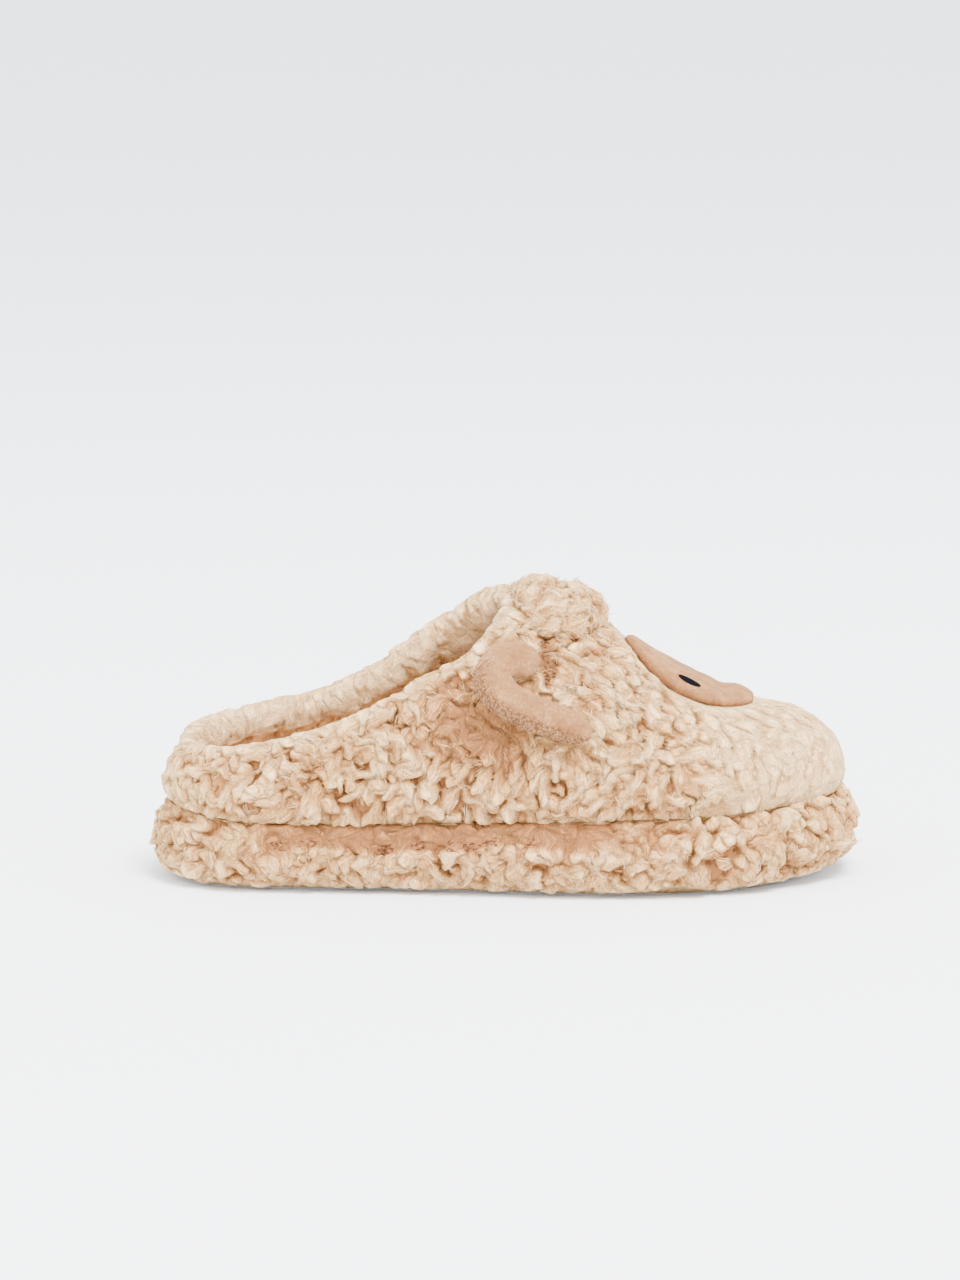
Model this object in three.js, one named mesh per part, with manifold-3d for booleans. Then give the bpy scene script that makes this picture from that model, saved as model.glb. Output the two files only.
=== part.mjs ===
// Plush slipper for a right foot, with a lamb's face on the vamp, built from the sole up.
// Millimetres, +Z up, toe towards +X, medial side towards +Y. The floor is Z = 0.
// The outsole carries a foam midsole wrapped in fleece. A hollow fleece upper stands on the wrap round a
// padded insole. The upper carries a topknot at the throat, a padded face with two stitched eyes, and two ears.
// The functions measure x from the heel of the upper (0) to its toe (upperLength). The finished pieces are moved
// back by originFromHeel, so that the origin is on the floor under the middle of the last.

import * as THREE from "three";
import Module from "manifold-3d";
import { mergeVertices } from "three/addons/utils/BufferGeometryUtils.js";

const wasm = await Module();
wasm.setup();

// Driving sizes of the last
const upperLength = 250;
const ballWidth = 93;
const ballHalfWidth = ballWidth / 2;
const toeSwing = 6;
const instepHeight = 101.5;
const heelCollarHeight = 47.5;
const toeBoxHeight = 57;
const platformHeight = 26;
const lowestCover = platformHeight * 2;
const throatFromHeel = 128;
const collarLead = 0.42;
const originFromHeel = upperLength / 2;

// Ends of the last, and how square its outline and its arch are
const heelCapLength = 40;
const toeCapLength = 70;
const outlinePower = 2.25;
const archPower = 2.3;
const toeArchPower = 3.7;

// Walls, pads and clearances
const upperWall = 6;
const clearance = 0.3;
const featherTuck = 4;
const featherTuckHeight = 9;
const padOverlap = 2;
const insoleThickness = 4.5;
const outsoleThickness = 4;
const outsoleEdge = 1;
const outsoleInset = 6;
const insoleEdge = 1.5;
const toeSpring = 4;
const toeSpringFrom = 0.78;
const heelSpring = 1;
const heelSpringTo = 0.08;

// Fleece: how far the wrap's roll stands out, and the locks on the roll and on the upper
const wrapProud = 4;
const skirtGap = 0.8;
const skirtLedge = 1;
const skirtFlare = 1.2;
const skirtFloorGap = 0.9;
const rollStart = -62;
const rollEnd = 80;
const lockHeight = 4;
const lockLean = 1.8;
const lockRise = 0.6;
const lockDroop = 0.2;
const combedHeight = 9;
const padClearShare = 1.02;
const padRiseShare = 1.3;

// Topknot, an oval of long curls over the throat
const topknotFromHeel = 143.5;
const topknotHalfLength = 15.5;
const topknotHalfWidth = 24;
const topknotThickness = 6;
const topknotLockLength = 6;
const topknotLockRadius = 4.4;
const topknotDroop = 0.55;

// Face, a padded oval sewn to the vamp
const browGap = 9.5;
const faceHalfLength = 23.5;
const faceHalfWidth = 20.5;
const faceFromHeel = topknotFromHeel + topknotHalfLength + browGap + faceHalfLength;
const faceThickness = 4.2;
const faceTaper = 0.06;
const muzzleSwell = 0.9;
const eyeBehindMiddle = 2;
const eyeFromHeel = faceFromHeel - eyeBehindMiddle;
const eyeFromCentre = 15;
const eyeHalfLength = 4.3;
const eyeHalfWidth = 2;
const eyeThickness = 0.5;

// Ears, stuffed and hooked, sewn into a seam on each side
const earLength = 72;
const earWidth = 13.5;
const earThickness = 7;

// How finely the pieces are faceted
const columns = 92;
const upperRows = 14;
const liningRows = [14, 9, 5, 2, 0];
const wrapRows = 7;
const earRings = 12;
const earSpokes = 14;

// One row for each section of the last. Widths are shares of ballHalfWidth, swing of toeSwing, seam of
// platformHeight, roll of wrapProud and nap of lockHeight. Rise is the crown's place between the end's height
// (heel or toe box) and instepHeight.
const sections = [
  { at: 0.0, lateral: 0.71, medial: 0.71, swing: 0.0, seam: 1.03, rise: 0.0, roll: 0.55, nap: 0.5 },
  { at: 0.06, lateral: 0.72, medial: 0.71, swing: 0.0, seam: 0.94, rise: 0.06, roll: 0.75, nap: 0.7 },
  { at: 0.13, lateral: 0.735, medial: 0.72, swing: 0.0, seam: 0.87, rise: 0.21, roll: 0.9, nap: 0.85 },
  { at: 0.22, lateral: 0.76, medial: 0.735, swing: 0.0, seam: 0.85, rise: 0.37, roll: 1.0, nap: 1.0 },
  { at: 0.31, lateral: 0.785, medial: 0.745, swing: 0.0, seam: 0.87, rise: 0.66, roll: 1.0, nap: 1.0 },
  { at: 0.385, lateral: 0.82, medial: 0.76, swing: 0.0, seam: 0.9, rise: 0.94, roll: 1.0, nap: 1.0 },
  { at: 0.45, lateral: 0.87, medial: 0.8, swing: 0.02, seam: 0.92, rise: 1.03, roll: 1.0, nap: 1.0 },
  { at: 0.512, lateral: 0.92, medial: 0.85, swing: 0.05, seam: 0.94, rise: 1.02, roll: 1.0, nap: 1.0 },
  { at: 0.6, lateral: 0.98, medial: 0.92, swing: 0.1, seam: 0.97, rise: 0.88, roll: 1.0, nap: 1.0 },
  { at: 0.66, lateral: 1.0, medial: 0.96, swing: 0.16, seam: 0.99, rise: 0.7, roll: 1.0, nap: 0.95 },
  { at: 0.72, lateral: 1.0, medial: 0.99, swing: 0.25, seam: 1.0, rise: 0.43, roll: 1.0, nap: 0.85 },
  { at: 0.785, lateral: 0.98, medial: 1.0, swing: 0.38, seam: 1.01, rise: 0.245, roll: 1.0, nap: 0.7 },
  { at: 0.86, lateral: 0.94, medial: 0.98, swing: 0.58, seam: 1.04, rise: 0.145, roll: 1.0, nap: 0.55 },
  { at: 0.93, lateral: 0.89, medial: 0.95, swing: 0.8, seam: 1.08, rise: 0.135, roll: 0.95, nap: 0.4 },
  { at: 1.0, lateral: 0.85, medial: 0.92, swing: 1.0, seam: 1.12, rise: 0.06, roll: 0.9, nap: 0.25 },
];

// The collar from the heel (0) to the throat (1): how far up the arch of the last the upper is cut on each side.
// The lateral side is cut lower, and rounder at the throat.
const collarLine = [
  { at: 0.0, lateral: 0.64, medial: 0.64 },
  { at: 0.05, lateral: 0.66, medial: 0.685 },
  { at: 0.13, lateral: 0.625, medial: 0.68 },
  { at: 0.22, lateral: 0.61, medial: 0.675 },
  { at: 0.4, lateral: 0.625, medial: 0.68 },
  { at: 0.58, lateral: 0.65, medial: 0.7 },
  { at: 0.73, lateral: 0.695, medial: 0.765 },
  { at: 0.86, lateral: 0.76, medial: 0.87 },
  { at: 0.94, lateral: 0.87, medial: 0.95 },
  { at: 1.0, lateral: 1.0, medial: 1.0 },
];

// Swells of the face along its middle line, from its middle (0) to its front (1): the muzzle and the dent behind
// it. Size is a share of muzzleSwell.
const faceSwells = [
  { at: 0.42, spread: 0.17, size: -0.7 },
  { at: 0.72, spread: 0.22, size: 1.0 },
];

// The ear's centre line from its seam (0) to its tip (1). Forward and up are shares of earLength, measured from
// the ear's bend; width is a share of earWidth, full of earThickness, and off of earThickness out from the fleece.
const earLine = [
  { at: 0.0, forward: 0.215, up: 0.015, width: 0.68, full: 0.5, off: 0.3 },
  { at: 0.12, forward: 0.12, up: 0.045, width: 0.9, full: 0.9, off: 0.62 },
  { at: 0.26, forward: 0.035, up: 0.02, width: 1.0, full: 1.0, off: 0.75 },
  { at: 0.4, forward: 0.0, up: -0.05, width: 1.04, full: 1.0, off: 0.8 },
  { at: 0.54, forward: 0.06, up: -0.13, width: 1.0, full: 1.0, off: 0.8 },
  { at: 0.68, forward: 0.165, up: -0.185, width: 0.96, full: 0.98, off: 0.78 },
  { at: 0.82, forward: 0.3, up: -0.235, width: 0.88, full: 0.9, off: 0.72 },
  { at: 0.93, forward: 0.41, up: -0.275, width: 0.66, full: 0.75, off: 0.65 },
  { at: 1.0, forward: 0.475, up: -0.3, width: 0.3, full: 0.35, off: 0.6 },
];
const earBendFromHeel = 121;
const earBendHeight = 79.5;

// Reads one column of a table at any share, on a smooth curve through its rows.
function smoothColumn(table, column) {
  const at = table.map((row) => row.at);
  const value = table.map((row) => row[column]);
  const last = at.length - 1;
  const slope = at.map((_, i) => {
    const before = Math.max(i - 1, 0);
    const after = Math.min(i + 1, last);
    return (value[after] - value[before]) / (at[after] - at[before]);
  });
  return (share) => {
    const s = THREE.MathUtils.clamp(share, at[0], at[last]);
    let i = 0;
    while (i < last - 1 && s > at[i + 1]) {
      i += 1;
    }
    const span = at[i + 1] - at[i];
    const f = (s - at[i]) / span;
    const rest = 1 - f;
    return (
      rest * rest * (1 + 2 * f) * value[i] +
      f * f * (3 - 2 * f) * value[i + 1] +
      span * f * rest * (rest * slope[i] - f * slope[i + 1])
    );
  };
}

const lateralShare = smoothColumn(sections, "lateral");
const medialShare = smoothColumn(sections, "medial");
const swingShare = smoothColumn(sections, "swing");
const seamShare = smoothColumn(sections, "seam");
const crownRise = smoothColumn(sections, "rise");
const rollShare = smoothColumn(sections, "roll");
const napShare = smoothColumn(sections, "nap");
const lateralCollar = smoothColumn(collarLine, "lateral");
const medialCollar = smoothColumn(collarLine, "medial");

// A repeatable pseudo-random share for a pair of whole numbers
function scatter(i, j) {
  const wave = Math.sin(i * 127.1 + j * 311.7) * 43758.5453;
  return wave - Math.floor(wave);
}

// The last

const centreAt = (x) => toeSwing * swingShare(x / upperLength);
const seamAt = (x) => platformHeight * seamShare(x / upperLength);

// Half the last's width before its ends are rounded; side is -1 lateral and 1 medial.
function fullHalfWidth(x, side) {
  const share = side < 0 ? lateralShare : medialShare;
  return ballHalfWidth * share(x / upperLength);
}

// How far x is into the heel's or the toe's rounded end: 0 between them and 1 at the outline.
function endShare(x) {
  const intoHeel = (heelCapLength - x) / heelCapLength;
  const intoToe = (x - (upperLength - toeCapLength)) / toeCapLength;
  return THREE.MathUtils.clamp(Math.max(intoHeel, intoToe), 0, 1);
}

// The arch's height at the crown. Behind the throat it is the arch that the collar is cut from.
const heelSeam = seamAt(0);
const heelCrown = heelSeam + (heelCollarHeight - heelSeam) / collarLine[0].lateral;
function crownAt(x) {
  const low = x < throatFromHeel ? heelCrown : toeBoxHeight;
  return low + (instepHeight - low) * crownRise(x / upperLength);
}

// The last's surface over the point (x, y): a superellipse arch from the seam up to the crown.
function domeHeight(x, y) {
  const offset = y - centreAt(x);
  const across = Math.abs(offset) / fullHalfWidth(x, Math.sign(offset));
  const end = endShare(x);
  const reach = Math.min(1, (across ** outlinePower + end ** outlinePower) ** (1 / outlinePower));
  const toeward = x > throatFromHeel ? end ** 2 / (end ** 2 + across ** 2 + 1e-6) : 0;
  const power = THREE.MathUtils.lerp(archPower, toeArchPower, toeward);
  const arch = (1 - reach ** power) ** (1 / power);
  return seamAt(x) + (crownAt(x) - seamAt(x)) * arch;
}

// The unit normal of the last's surface over (x, y), pointing out.
function domeNormal(x, y) {
  const step = 0.5;
  const alongX = domeHeight(x + step, y) - domeHeight(x - step, y);
  const alongY = domeHeight(x, y + step) - domeHeight(x, y - step);
  return new THREE.Vector3(-alongX, -alongY, 2 * step).normalize();
}

// How far out the arch is, as a share of its half width, where it has risen by a share of its height
const archReach = (rise) => (1 - rise ** archPower) ** (1 / archPower);

// The lateral or medial point of the last at height z in the section at x
function sidePoint(x, z, side) {
  const rise = THREE.MathUtils.clamp((z - seamAt(x)) / (crownAt(x) - seamAt(x)), 0, 0.999);
  return new THREE.Vector3(x, centreAt(x) + side * archReach(rise) * fullHalfWidth(x, side), z);
}

// The plan outline at an angle that runs from the heel round the lateral side.
function footPoint(angle) {
  const side = Math.sin(angle) > 0 ? -1 : 1;
  const x = (upperLength * (1 - Math.cos(angle))) / 2;
  const rounding = (1 - endShare(x) ** outlinePower) ** (1 / outlinePower);
  return new THREE.Vector3(x, centreAt(x) + side * rounding * fullHalfWidth(x, side), 0);
}

// The level unit normal of the plan outline, pointing out.
function outwardAt(angle) {
  const step = 0.01;
  const along = footPoint(angle + step).sub(footPoint(angle - step));
  return new THREE.Vector3(along.y, -along.x, 0).normalize();
}

const outlinePoint = (angle, grow) => footPoint(angle).addScaledVector(outwardAt(angle), grow);

// The collar's loop: x runs from the heel's rim to the throat, and y follows from how far up the arch it is cut.
const collarHeelX = heelCapLength * (1 - archReach(collarLine[0].lateral));
function collarPoint(angle) {
  const side = Math.sin(angle) > 0 ? -1 : 1;
  const share = (1 - Math.cos(angle)) / 2;
  const x = collarHeelX + (throatFromHeel - collarHeelX) * share;
  const rise = Math.min(1, side < 0 ? lateralCollar(share) : medialCollar(share));
  const inside = archReach(rise) ** outlinePower - endShare(x) ** outlinePower;
  const reach = Math.max(0, inside) ** (1 / outlinePower);
  const z = seamAt(x) + (crownAt(x) - seamAt(x)) * rise;
  return new THREE.Vector3(x, centreAt(x) + side * reach * fullHalfWidth(x, side), z);
}

// The floor line of the sole: flat from heel to ball, then sprung up to the toe.
function springAt(x) {
  const share = THREE.MathUtils.clamp(x / upperLength, 0, 1);
  const toe = Math.max(0, (share - toeSpringFrom) / (1 - toeSpringFrom));
  const heel = Math.max(0, (heelSpringTo - share) / heelSpringTo);
  return toeSpring * toe ** 2 + heelSpring * heel ** 2;
}

// Meshes

// A closed body from a grid of points, grid[row][column], with the columns running round. The rows join into
// a ring-shaped body, or they end in a ladder of faces across the first row and the last. Each square is split
// between its odd corners, so that a drawn-out even point is a tuft of its own.
function closedBody(grid, { ring }) {
  const rows = grid.length;
  const around = grid[0].length;
  const positions = grid.flat().flatMap((p) => [p.x, p.y, p.z]);
  const faces = [];
  const corner = (row, column) => (row % rows) * around + (column % around);
  for (let row = 0; row < (ring ? rows : rows - 1); row += 1) {
    for (let column = 0; column < around; column += 1) {
      const a = corner(row, column);
      const b = corner(row, column + 1);
      const c = corner(row + 1, column + 1);
      const d = corner(row + 1, column);
      faces.push(...((row + column) % 2 ? [a, b, c, a, c, d] : [a, b, d, b, c, d]));
    }
  }
  const ladder = (row, flip) => {
    for (let i = 0; i < around / 2; i += 1) {
      const [a, b] = [corner(row, i), corner(row, i + 1)];
      const [c, d] = [corner(row, around - i - 1), corner(row, around - i)];
      const rungs = i === 0 ? [[a, c, b]] : [[a, d, c], [a, c, b]];
      const whole = rungs.filter(([p, q, r]) => p !== q && q !== r && r !== p);
      whole.forEach(([p, q, r]) => faces.push(...(flip ? [p, r, q] : [p, q, r])));
    }
  };
  if (!ring) {
    ladder(0, false);
    ladder(rows - 1, true);
  }
  const geometry = new THREE.BufferGeometry();
  geometry.setAttribute("position", new THREE.BufferAttribute(new Float32Array(positions), 3));
  geometry.setIndex(faces);
  return geometry;
}

function solidOf(geometry) {
  const bare = new THREE.BufferGeometry();
  bare.setAttribute("position", geometry.getAttribute("position"));
  bare.setIndex(geometry.getIndex());
  const merged = mergeVertices(bare, 1e-4);
  const vertProperties = merged.getAttribute("position").array;
  const triVerts = new Uint32Array(merged.getIndex().array);
  return new wasm.Manifold(new wasm.Mesh({ numProp: 3, vertProperties, triVerts }));
}

function geometryOf(solid) {
  const mesh = solid.getMesh();
  const geometry = new THREE.BufferGeometry();
  geometry.setAttribute("position", new THREE.BufferAttribute(mesh.vertProperties, 3));
  geometry.setIndex(new THREE.BufferAttribute(mesh.triVerts, 1));
  return geometry;
}

const columnAngles = Array.from({ length: columns }, (_, i) => (i / columns) * Math.PI * 2);

// Upper

// The share of a lock's height that stands at a point: none by the seam, under the topknot or under the face.
function fleeceAllowed(point) {
  const topknot = Math.hypot(
    (point.x - topknotFromHeel) / topknotHalfLength,
    (point.y - centreAt(topknotFromHeel)) / topknotHalfWidth,
  );
  const face = Math.hypot(
    (point.x - faceFromHeel) / faceHalfLength,
    (point.y - centreAt(faceFromHeel)) / faceHalfWidth,
  );
  const covered = point.z > lowestCover ? Math.min(topknot, face) : Infinity;
  const overSeam = THREE.MathUtils.smoothstep(point.z - seamAt(point.x), combedHeight / 3, combedHeight);
  return napShare(point.x / upperLength) * overSeam * THREE.MathUtils.smoothstep(covered, padClearShare, padRiseShare);
}

// One line of the upper from the feather edge up to the collar, with its points evenly spaced. Up the sides the
// collar's angle runs ahead of the outline's by collarLead, so that the lines lean forward.
function upperLine(angle) {
  const fine = 48;
  const sampleDensity = 2.4;
  const foot = footPoint(angle);
  const out = outwardAt(angle);
  const rim = collarPoint(angle + collarLead * Math.sin(angle));
  const points = [];
  for (let i = 0; i <= fine; i += 1) {
    const share = (i / fine) ** sampleDensity;
    const x = THREE.MathUtils.lerp(foot.x, rim.x, share);
    const y = THREE.MathUtils.lerp(foot.y, rim.y, share);
    const z = i === fine ? rim.z : domeHeight(x, y);
    const low = 1 - THREE.MathUtils.clamp((z - seamAt(x)) / featherTuckHeight, 0, 1);
    points.push(new THREE.Vector3(x, y, z + clearance).addScaledVector(out, -featherTuck * low ** 2));
  }
  return new THREE.CatmullRomCurve3(points, false, "chordal").getSpacedPoints(upperRows);
}

// The unit normals of a grid whose columns run round, from the lines to each point's neighbours.
function gridNormals(grid) {
  const last = grid.length - 1;
  const around = grid[0].length;
  return grid.map((line, row) =>
    line.map((_, column) => {
      const round = grid[row][(column + 1) % around].clone();
      round.sub(grid[row][(column + around - 1) % around]);
      const up = grid[Math.min(row + 1, last)][column].clone();
      up.sub(grid[Math.max(row - 1, 0)][column]);
      return round.cross(up).normalize();
    }),
  );
}

const upperLines = columnAngles.map(upperLine);
const upperGrid = Array.from({ length: upperRows + 1 }, (_, row) => upperLines.map((line) => line[row]));
const upperNormals = gridNormals(upperGrid);

// The fleece side of the upper, grown by a distance: every second point is drawn out into a lock that leans
// down and to one side.
function fleeceRows(grow) {
  return upperGrid.map((line, row) =>
    line.map((point, column) => {
      const edge = row === 0 || row === upperRows;
      const standing = edge || (row + column) % 2 ? 0 : 0.55 + 0.45 * scatter(column, row);
      const roomy = edge ? 0 : Math.min(1, point.distanceTo(upperGrid[row + 1][column]) / lockHeight);
      const size = standing * roomy * fleeceAllowed(point);
      const along = line[(column + 1) % columns].clone().sub(point).normalize();
      return point
        .clone()
        .addScaledVector(upperNormals[row][column], lockHeight * size + grow)
        .addScaledVector(along, lockLean * size * (2 * scatter(row, column + 7) - 1))
        .add(new THREE.Vector3(0, 0, -lockLean * size * scatter(row + 3, column)));
    }),
  );
}

// The rim rolls over from the fleece to the lining.
function rimRows(grow) {
  const radius = upperWall / 2;
  return [0.25, 0.5, 0.75].map((turn) =>
    upperGrid[upperRows].map((point, column) => {
      const up = point.clone().sub(upperGrid[upperRows - 1][column]).normalize();
      const angle = turn * Math.PI;
      return point
        .clone()
        .addScaledVector(upperNormals[upperRows][column], (radius + grow) * Math.cos(angle) - radius)
        .addScaledVector(up, (radius + grow) * Math.sin(angle));
    }),
  );
}

function upperGeometry() {
  const lining = liningRows.map((row) =>
    upperGrid[row].map((point, column) => {
      const outward = upperNormals[row][column].clone();
      if (row === 0) {
        outward.setZ(0).normalize();
      }
      return point.clone().addScaledVector(outward, -upperWall);
    }),
  );
  return closedBody([...fleeceRows(0), ...rimRows(0), ...lining], { ring: true });
}

// What a pad sewn to the upper is cut by, so that it sits a clearance off the fleece and over the rim.
const padCutter = solidOf(closedBody([...fleeceRows(clearance), ...rimRows(clearance)], { ring: false }));
const seated = (geometry) => geometryOf(solidOf(geometry).subtract(padCutter));

// Sole

// A flat pad under the foot: one outline at each height, with its edge eased at the top and the bottom.
function padGeometry({ grow, bottom, top, ease }) {
  const levels = [
    { inset: ease, height: 0 },
    { inset: 0, height: 0.3 },
    { inset: 0, height: 0.7 },
    { inset: ease, height: 1 },
  ];
  const grid = levels.map(({ inset, height }) =>
    columnAngles
      .filter((_, i) => i % 2 === 0)
      .map((angle) => {
        const point = outlinePoint(angle, grow - inset);
        point.z = THREE.MathUtils.lerp(bottom(point.x), top(point.x), height);
        return point;
      }),
  );
  return closedBody(grid, { ring: false });
}

function wrapGeometry() {
  const floorOf = (x) => springAt(x) + outsoleThickness + clearance;
  const skirtInner = skirtGap - outsoleInset;
  const ringAt = (grow, height) =>
    columnAngles.map((angle) => {
      const point = outlinePoint(angle, grow);
      point.z = height(point.x);
      return point;
    });
  const rows = [ringAt(skirtInner - skirtLedge, floorOf), ringAt(skirtInner, floorOf)];
  rows.push(ringAt(skirtInner + skirtFlare, (x) => springAt(x) + skirtFloorGap));

  // The roll is half an ellipse, and every second point of it is drawn out into a lock that droops.
  for (let row = 0; row < wrapRows; row += 1) {
    const turn = THREE.MathUtils.degToRad(THREE.MathUtils.lerp(rollStart, rollEnd, row / (wrapRows - 1)));
    const line = columnAngles.map((angle, column) => {
      const x = footPoint(angle).x;
      const proud = skirtInner + (wrapProud * rollShare(x / upperLength) - skirtInner) * Math.cos(turn);
      const standing = row === wrapRows - 1 || (row + column) % 2 ? 0 : 0.45 + 0.4 * scatter(column, row);
      const lift = lockHeight * standing;
      const point = outlinePoint(angle, proud + lift * Math.cos(turn));
      const low = springAt(x) + skirtFloorGap;
      const height = low + ((seamAt(x) - low) * (1 + Math.sin(turn))) / 2;
      point.z = Math.max(low, height + lift * (lockRise * Math.sin(turn) - lockDroop));
      return point;
    });
    rows.push(line);
  }
  rows.push(ringAt(-featherTuck / 2, seamAt), ringAt(-featherTuck - upperWall, seamAt));
  return closedBody(rows, { ring: false });
}

const outsole = padGeometry({
  grow: -outsoleInset,
  bottom: springAt,
  top: (x) => springAt(x) + outsoleThickness,
  ease: outsoleEdge,
});
const insole = padGeometry({
  grow: -featherTuck - upperWall - clearance,
  bottom: (x) => seamAt(x) + clearance,
  top: (x) => seamAt(x) + insoleThickness,
  ease: insoleEdge,
});

// Pads sewn to the upper

const bulge = (share, power) => (1 - Math.min(1, share) ** power) ** (1 / power);

// A padded oval on the last, from rings of points about its middle. Its two faces stand off the last by what the
// profiles give for a point's share of the way out and its place.
function ovalPad({ fromHeel, fromCentre, halfLength, halfWidth, taper, rings, spokes, top, bottom }) {
  const angles = Array.from({ length: spokes }, (_, i) => (i / spokes) * Math.PI * 2);
  const shares = Array.from({ length: rings }, (_, i) => (i + 1) / rings);
  const ringOf = (share, profile) =>
    angles.map((angle) => {
      const x = fromHeel + halfLength * share * Math.cos(angle);
      const narrowing = 1 - taper * share * Math.cos(angle);
      const y = centreAt(fromHeel) + fromCentre + halfWidth * narrowing * share * Math.sin(angle);
      const surface = new THREE.Vector3(x, y, domeHeight(x, y) + clearance);
      return surface.addScaledVector(domeNormal(x, y), profile(share, x, y));
    });
  const under = shares.map((share) => ringOf(share, bottom));
  const over = shares.map((share) => ringOf(share, top)).reverse();
  return closedBody([...under, ...over], { ring: false });
}

// How far the face stands off the last over (x, y): a pad with a muzzle at its front and a dent behind it.
function faceTop(x, y) {
  const ahead = (x - faceFromHeel) / faceHalfLength;
  const aside = (y - centreAt(faceFromHeel)) / (faceHalfWidth * (1 - faceTaper * ahead));
  const pad = 0.45 + 0.55 * bulge(Math.hypot(ahead, aside), 3.2);
  const fade = Math.max(0, 1 - Math.abs(aside) * 1.6);
  const swell = faceSwells.reduce((sum, { at, spread, size }) => sum + size * Math.exp(-(((ahead - at) / spread) ** 2)), 0);
  return faceThickness * pad + muzzleSwell * swell * fade;
}

const faceGeometry = () =>
  seated(
    ovalPad({
      fromHeel: faceFromHeel,
      fromCentre: 0,
      halfLength: faceHalfLength,
      halfWidth: faceHalfWidth,
      taper: faceTaper,
      rings: 5,
      spokes: 32,
      bottom: () => -padOverlap,
      top: (share, x, y) => faceTop(x, y),
    }),
  );

const eyeGeometry = (side) =>
  ovalPad({
    fromHeel: eyeFromHeel,
    fromCentre: side * eyeFromCentre,
    halfLength: eyeHalfLength,
    halfWidth: eyeHalfWidth,
    taper: 0,
    rings: 2,
    spokes: 14,
    bottom: (share, x, y) => faceTop(x, y) + clearance,
    top: (share, x, y) => faceTop(x, y) + clearance + eyeThickness * (0.4 + 0.6 * bulge(share, 2)),
  });

// One curl of the topknot: a tapering lock on the pad at a share of the way out, drooping outwards.
function curl(share, angle, size) {
  const x = topknotFromHeel + topknotHalfLength * share * Math.cos(angle);
  const y = centreAt(topknotFromHeel) + topknotHalfWidth * share * Math.sin(angle);
  const outward = new THREE.Vector3(Math.cos(angle) * share, Math.sin(angle) * share, -topknotDroop * share ** 2);
  const path = [0, 0.35, 0.7, 1].map((step) =>
    new THREE.Vector3(x, y, domeHeight(x, y) + topknotThickness * 0.45 * (1.2 - share))
      .addScaledVector(domeNormal(x, y), topknotLockLength * size * Math.sin(step * 1.5))
      .addScaledVector(outward, topknotLockLength * size * step ** 2),
  );
  return solidOf(sweptLock(path, topknotLockRadius * size));
}

// A closed lock along a path: rings square to it, full at the root and drawn in at the tip.
function sweptLock(path, radius) {
  const spokes = 5;
  const fullness = [0.9, 1, 0.95, 0.5];
  const grid = path.map((point, i) => {
    const before = path[Math.max(i - 1, 0)];
    const after = path[Math.min(i + 1, path.length - 1)];
    const along = after.clone().sub(before).normalize();
    const across = new THREE.Vector3(1, 0, 0).addScaledVector(along, -along.x).normalize();
    const over = along.clone().cross(across);
    return Array.from({ length: spokes }, (_, k) => {
      const turn = (k / spokes) * Math.PI * 2;
      return point
        .clone()
        .addScaledVector(across, radius * fullness[i] * Math.cos(turn))
        .addScaledVector(over, radius * fullness[i] * Math.sin(turn));
    });
  });
  return closedBody(grid, { ring: false });
}

// The topknot is an oval pad with rings of curls fused to it.
function topknotGeometry() {
  const pad = ovalPad({
    fromHeel: topknotFromHeel,
    fromCentre: 0,
    halfLength: topknotHalfLength,
    halfWidth: topknotHalfWidth,
    taper: 0,
    rings: 3,
    spokes: 20,
    bottom: () => -padOverlap,
    top: (share) => topknotThickness * (0.3 + 0.7 * bulge(share, 2.6)),
  });
  const curls = [
    { share: 0.12, count: 3, size: 0.85 },
    { share: 0.5, count: 8, size: 1 },
    { share: 0.84, count: 13, size: 1.1 },
  ].flatMap(({ share, count, size }, ring) =>
    Array.from({ length: count }, (_, i) => {
      const angle = ((i + 0.35 * scatter(i, ring)) / count) * Math.PI * 2;
      return curl(share, angle, size * (0.85 + 0.25 * scatter(ring, i)));
    }),
  );
  return seated(geometryOf(wasm.Manifold.union([solidOf(pad), ...curls])));
}

// An ear is a stuffed tube of changing width, laid along its line over the side of the last.
function earGeometry(side) {
  const read = Object.fromEntries(
    ["forward", "up", "width", "full", "off"].map((name) => [name, smoothColumn(earLine, name)]),
  );
  const centreOf = (share) => {
    const x = earBendFromHeel + earLength * read.forward(share);
    return sidePoint(x, earBendHeight + earLength * read.up(share), side);
  };
  const grid = Array.from({ length: earRings }, (_, i) => {
    const share = i / (earRings - 1);
    const step = 0.02;
    const centre = centreOf(share);
    const along = centreOf(Math.min(1, share + step)).sub(centreOf(Math.max(0, share - step))).normalize();
    const out = domeNormal(centre.x, centre.y);
    out.addScaledVector(along, -out.dot(along)).normalize();
    const across = out.clone().cross(along);
    centre.addScaledVector(out, earThickness * read.off(share));
    return Array.from({ length: earSpokes }, (_, k) => {
      const turn = (k / earSpokes) * Math.PI * 2;
      return centre
        .clone()
        .addScaledVector(across, (earWidth / 2) * read.width(share) * Math.cos(turn))
        .addScaledVector(out, (earThickness / 2) * read.full(share) * Math.sin(turn));
    });
  });
  return seated(closedBody(grid, { ring: false }));
}

// Assembly

const cloth = (color) => new THREE.MeshStandardMaterial({ color, roughness: 1, metalness: 0 });
const cream = 0xe6cdb0;
const tan = 0xc9a07c;
const ink = 0x1c1a1c;
const soleGrey = 0xd8d4cc;

const slipper = new THREE.Group();
function place(name, geometry, color) {
  const mesh = new THREE.Mesh(geometry.translate(-originFromHeel, 0, 0), cloth(color));
  mesh.name = name;
  slipper.add(mesh);
  return mesh;
}

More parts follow.
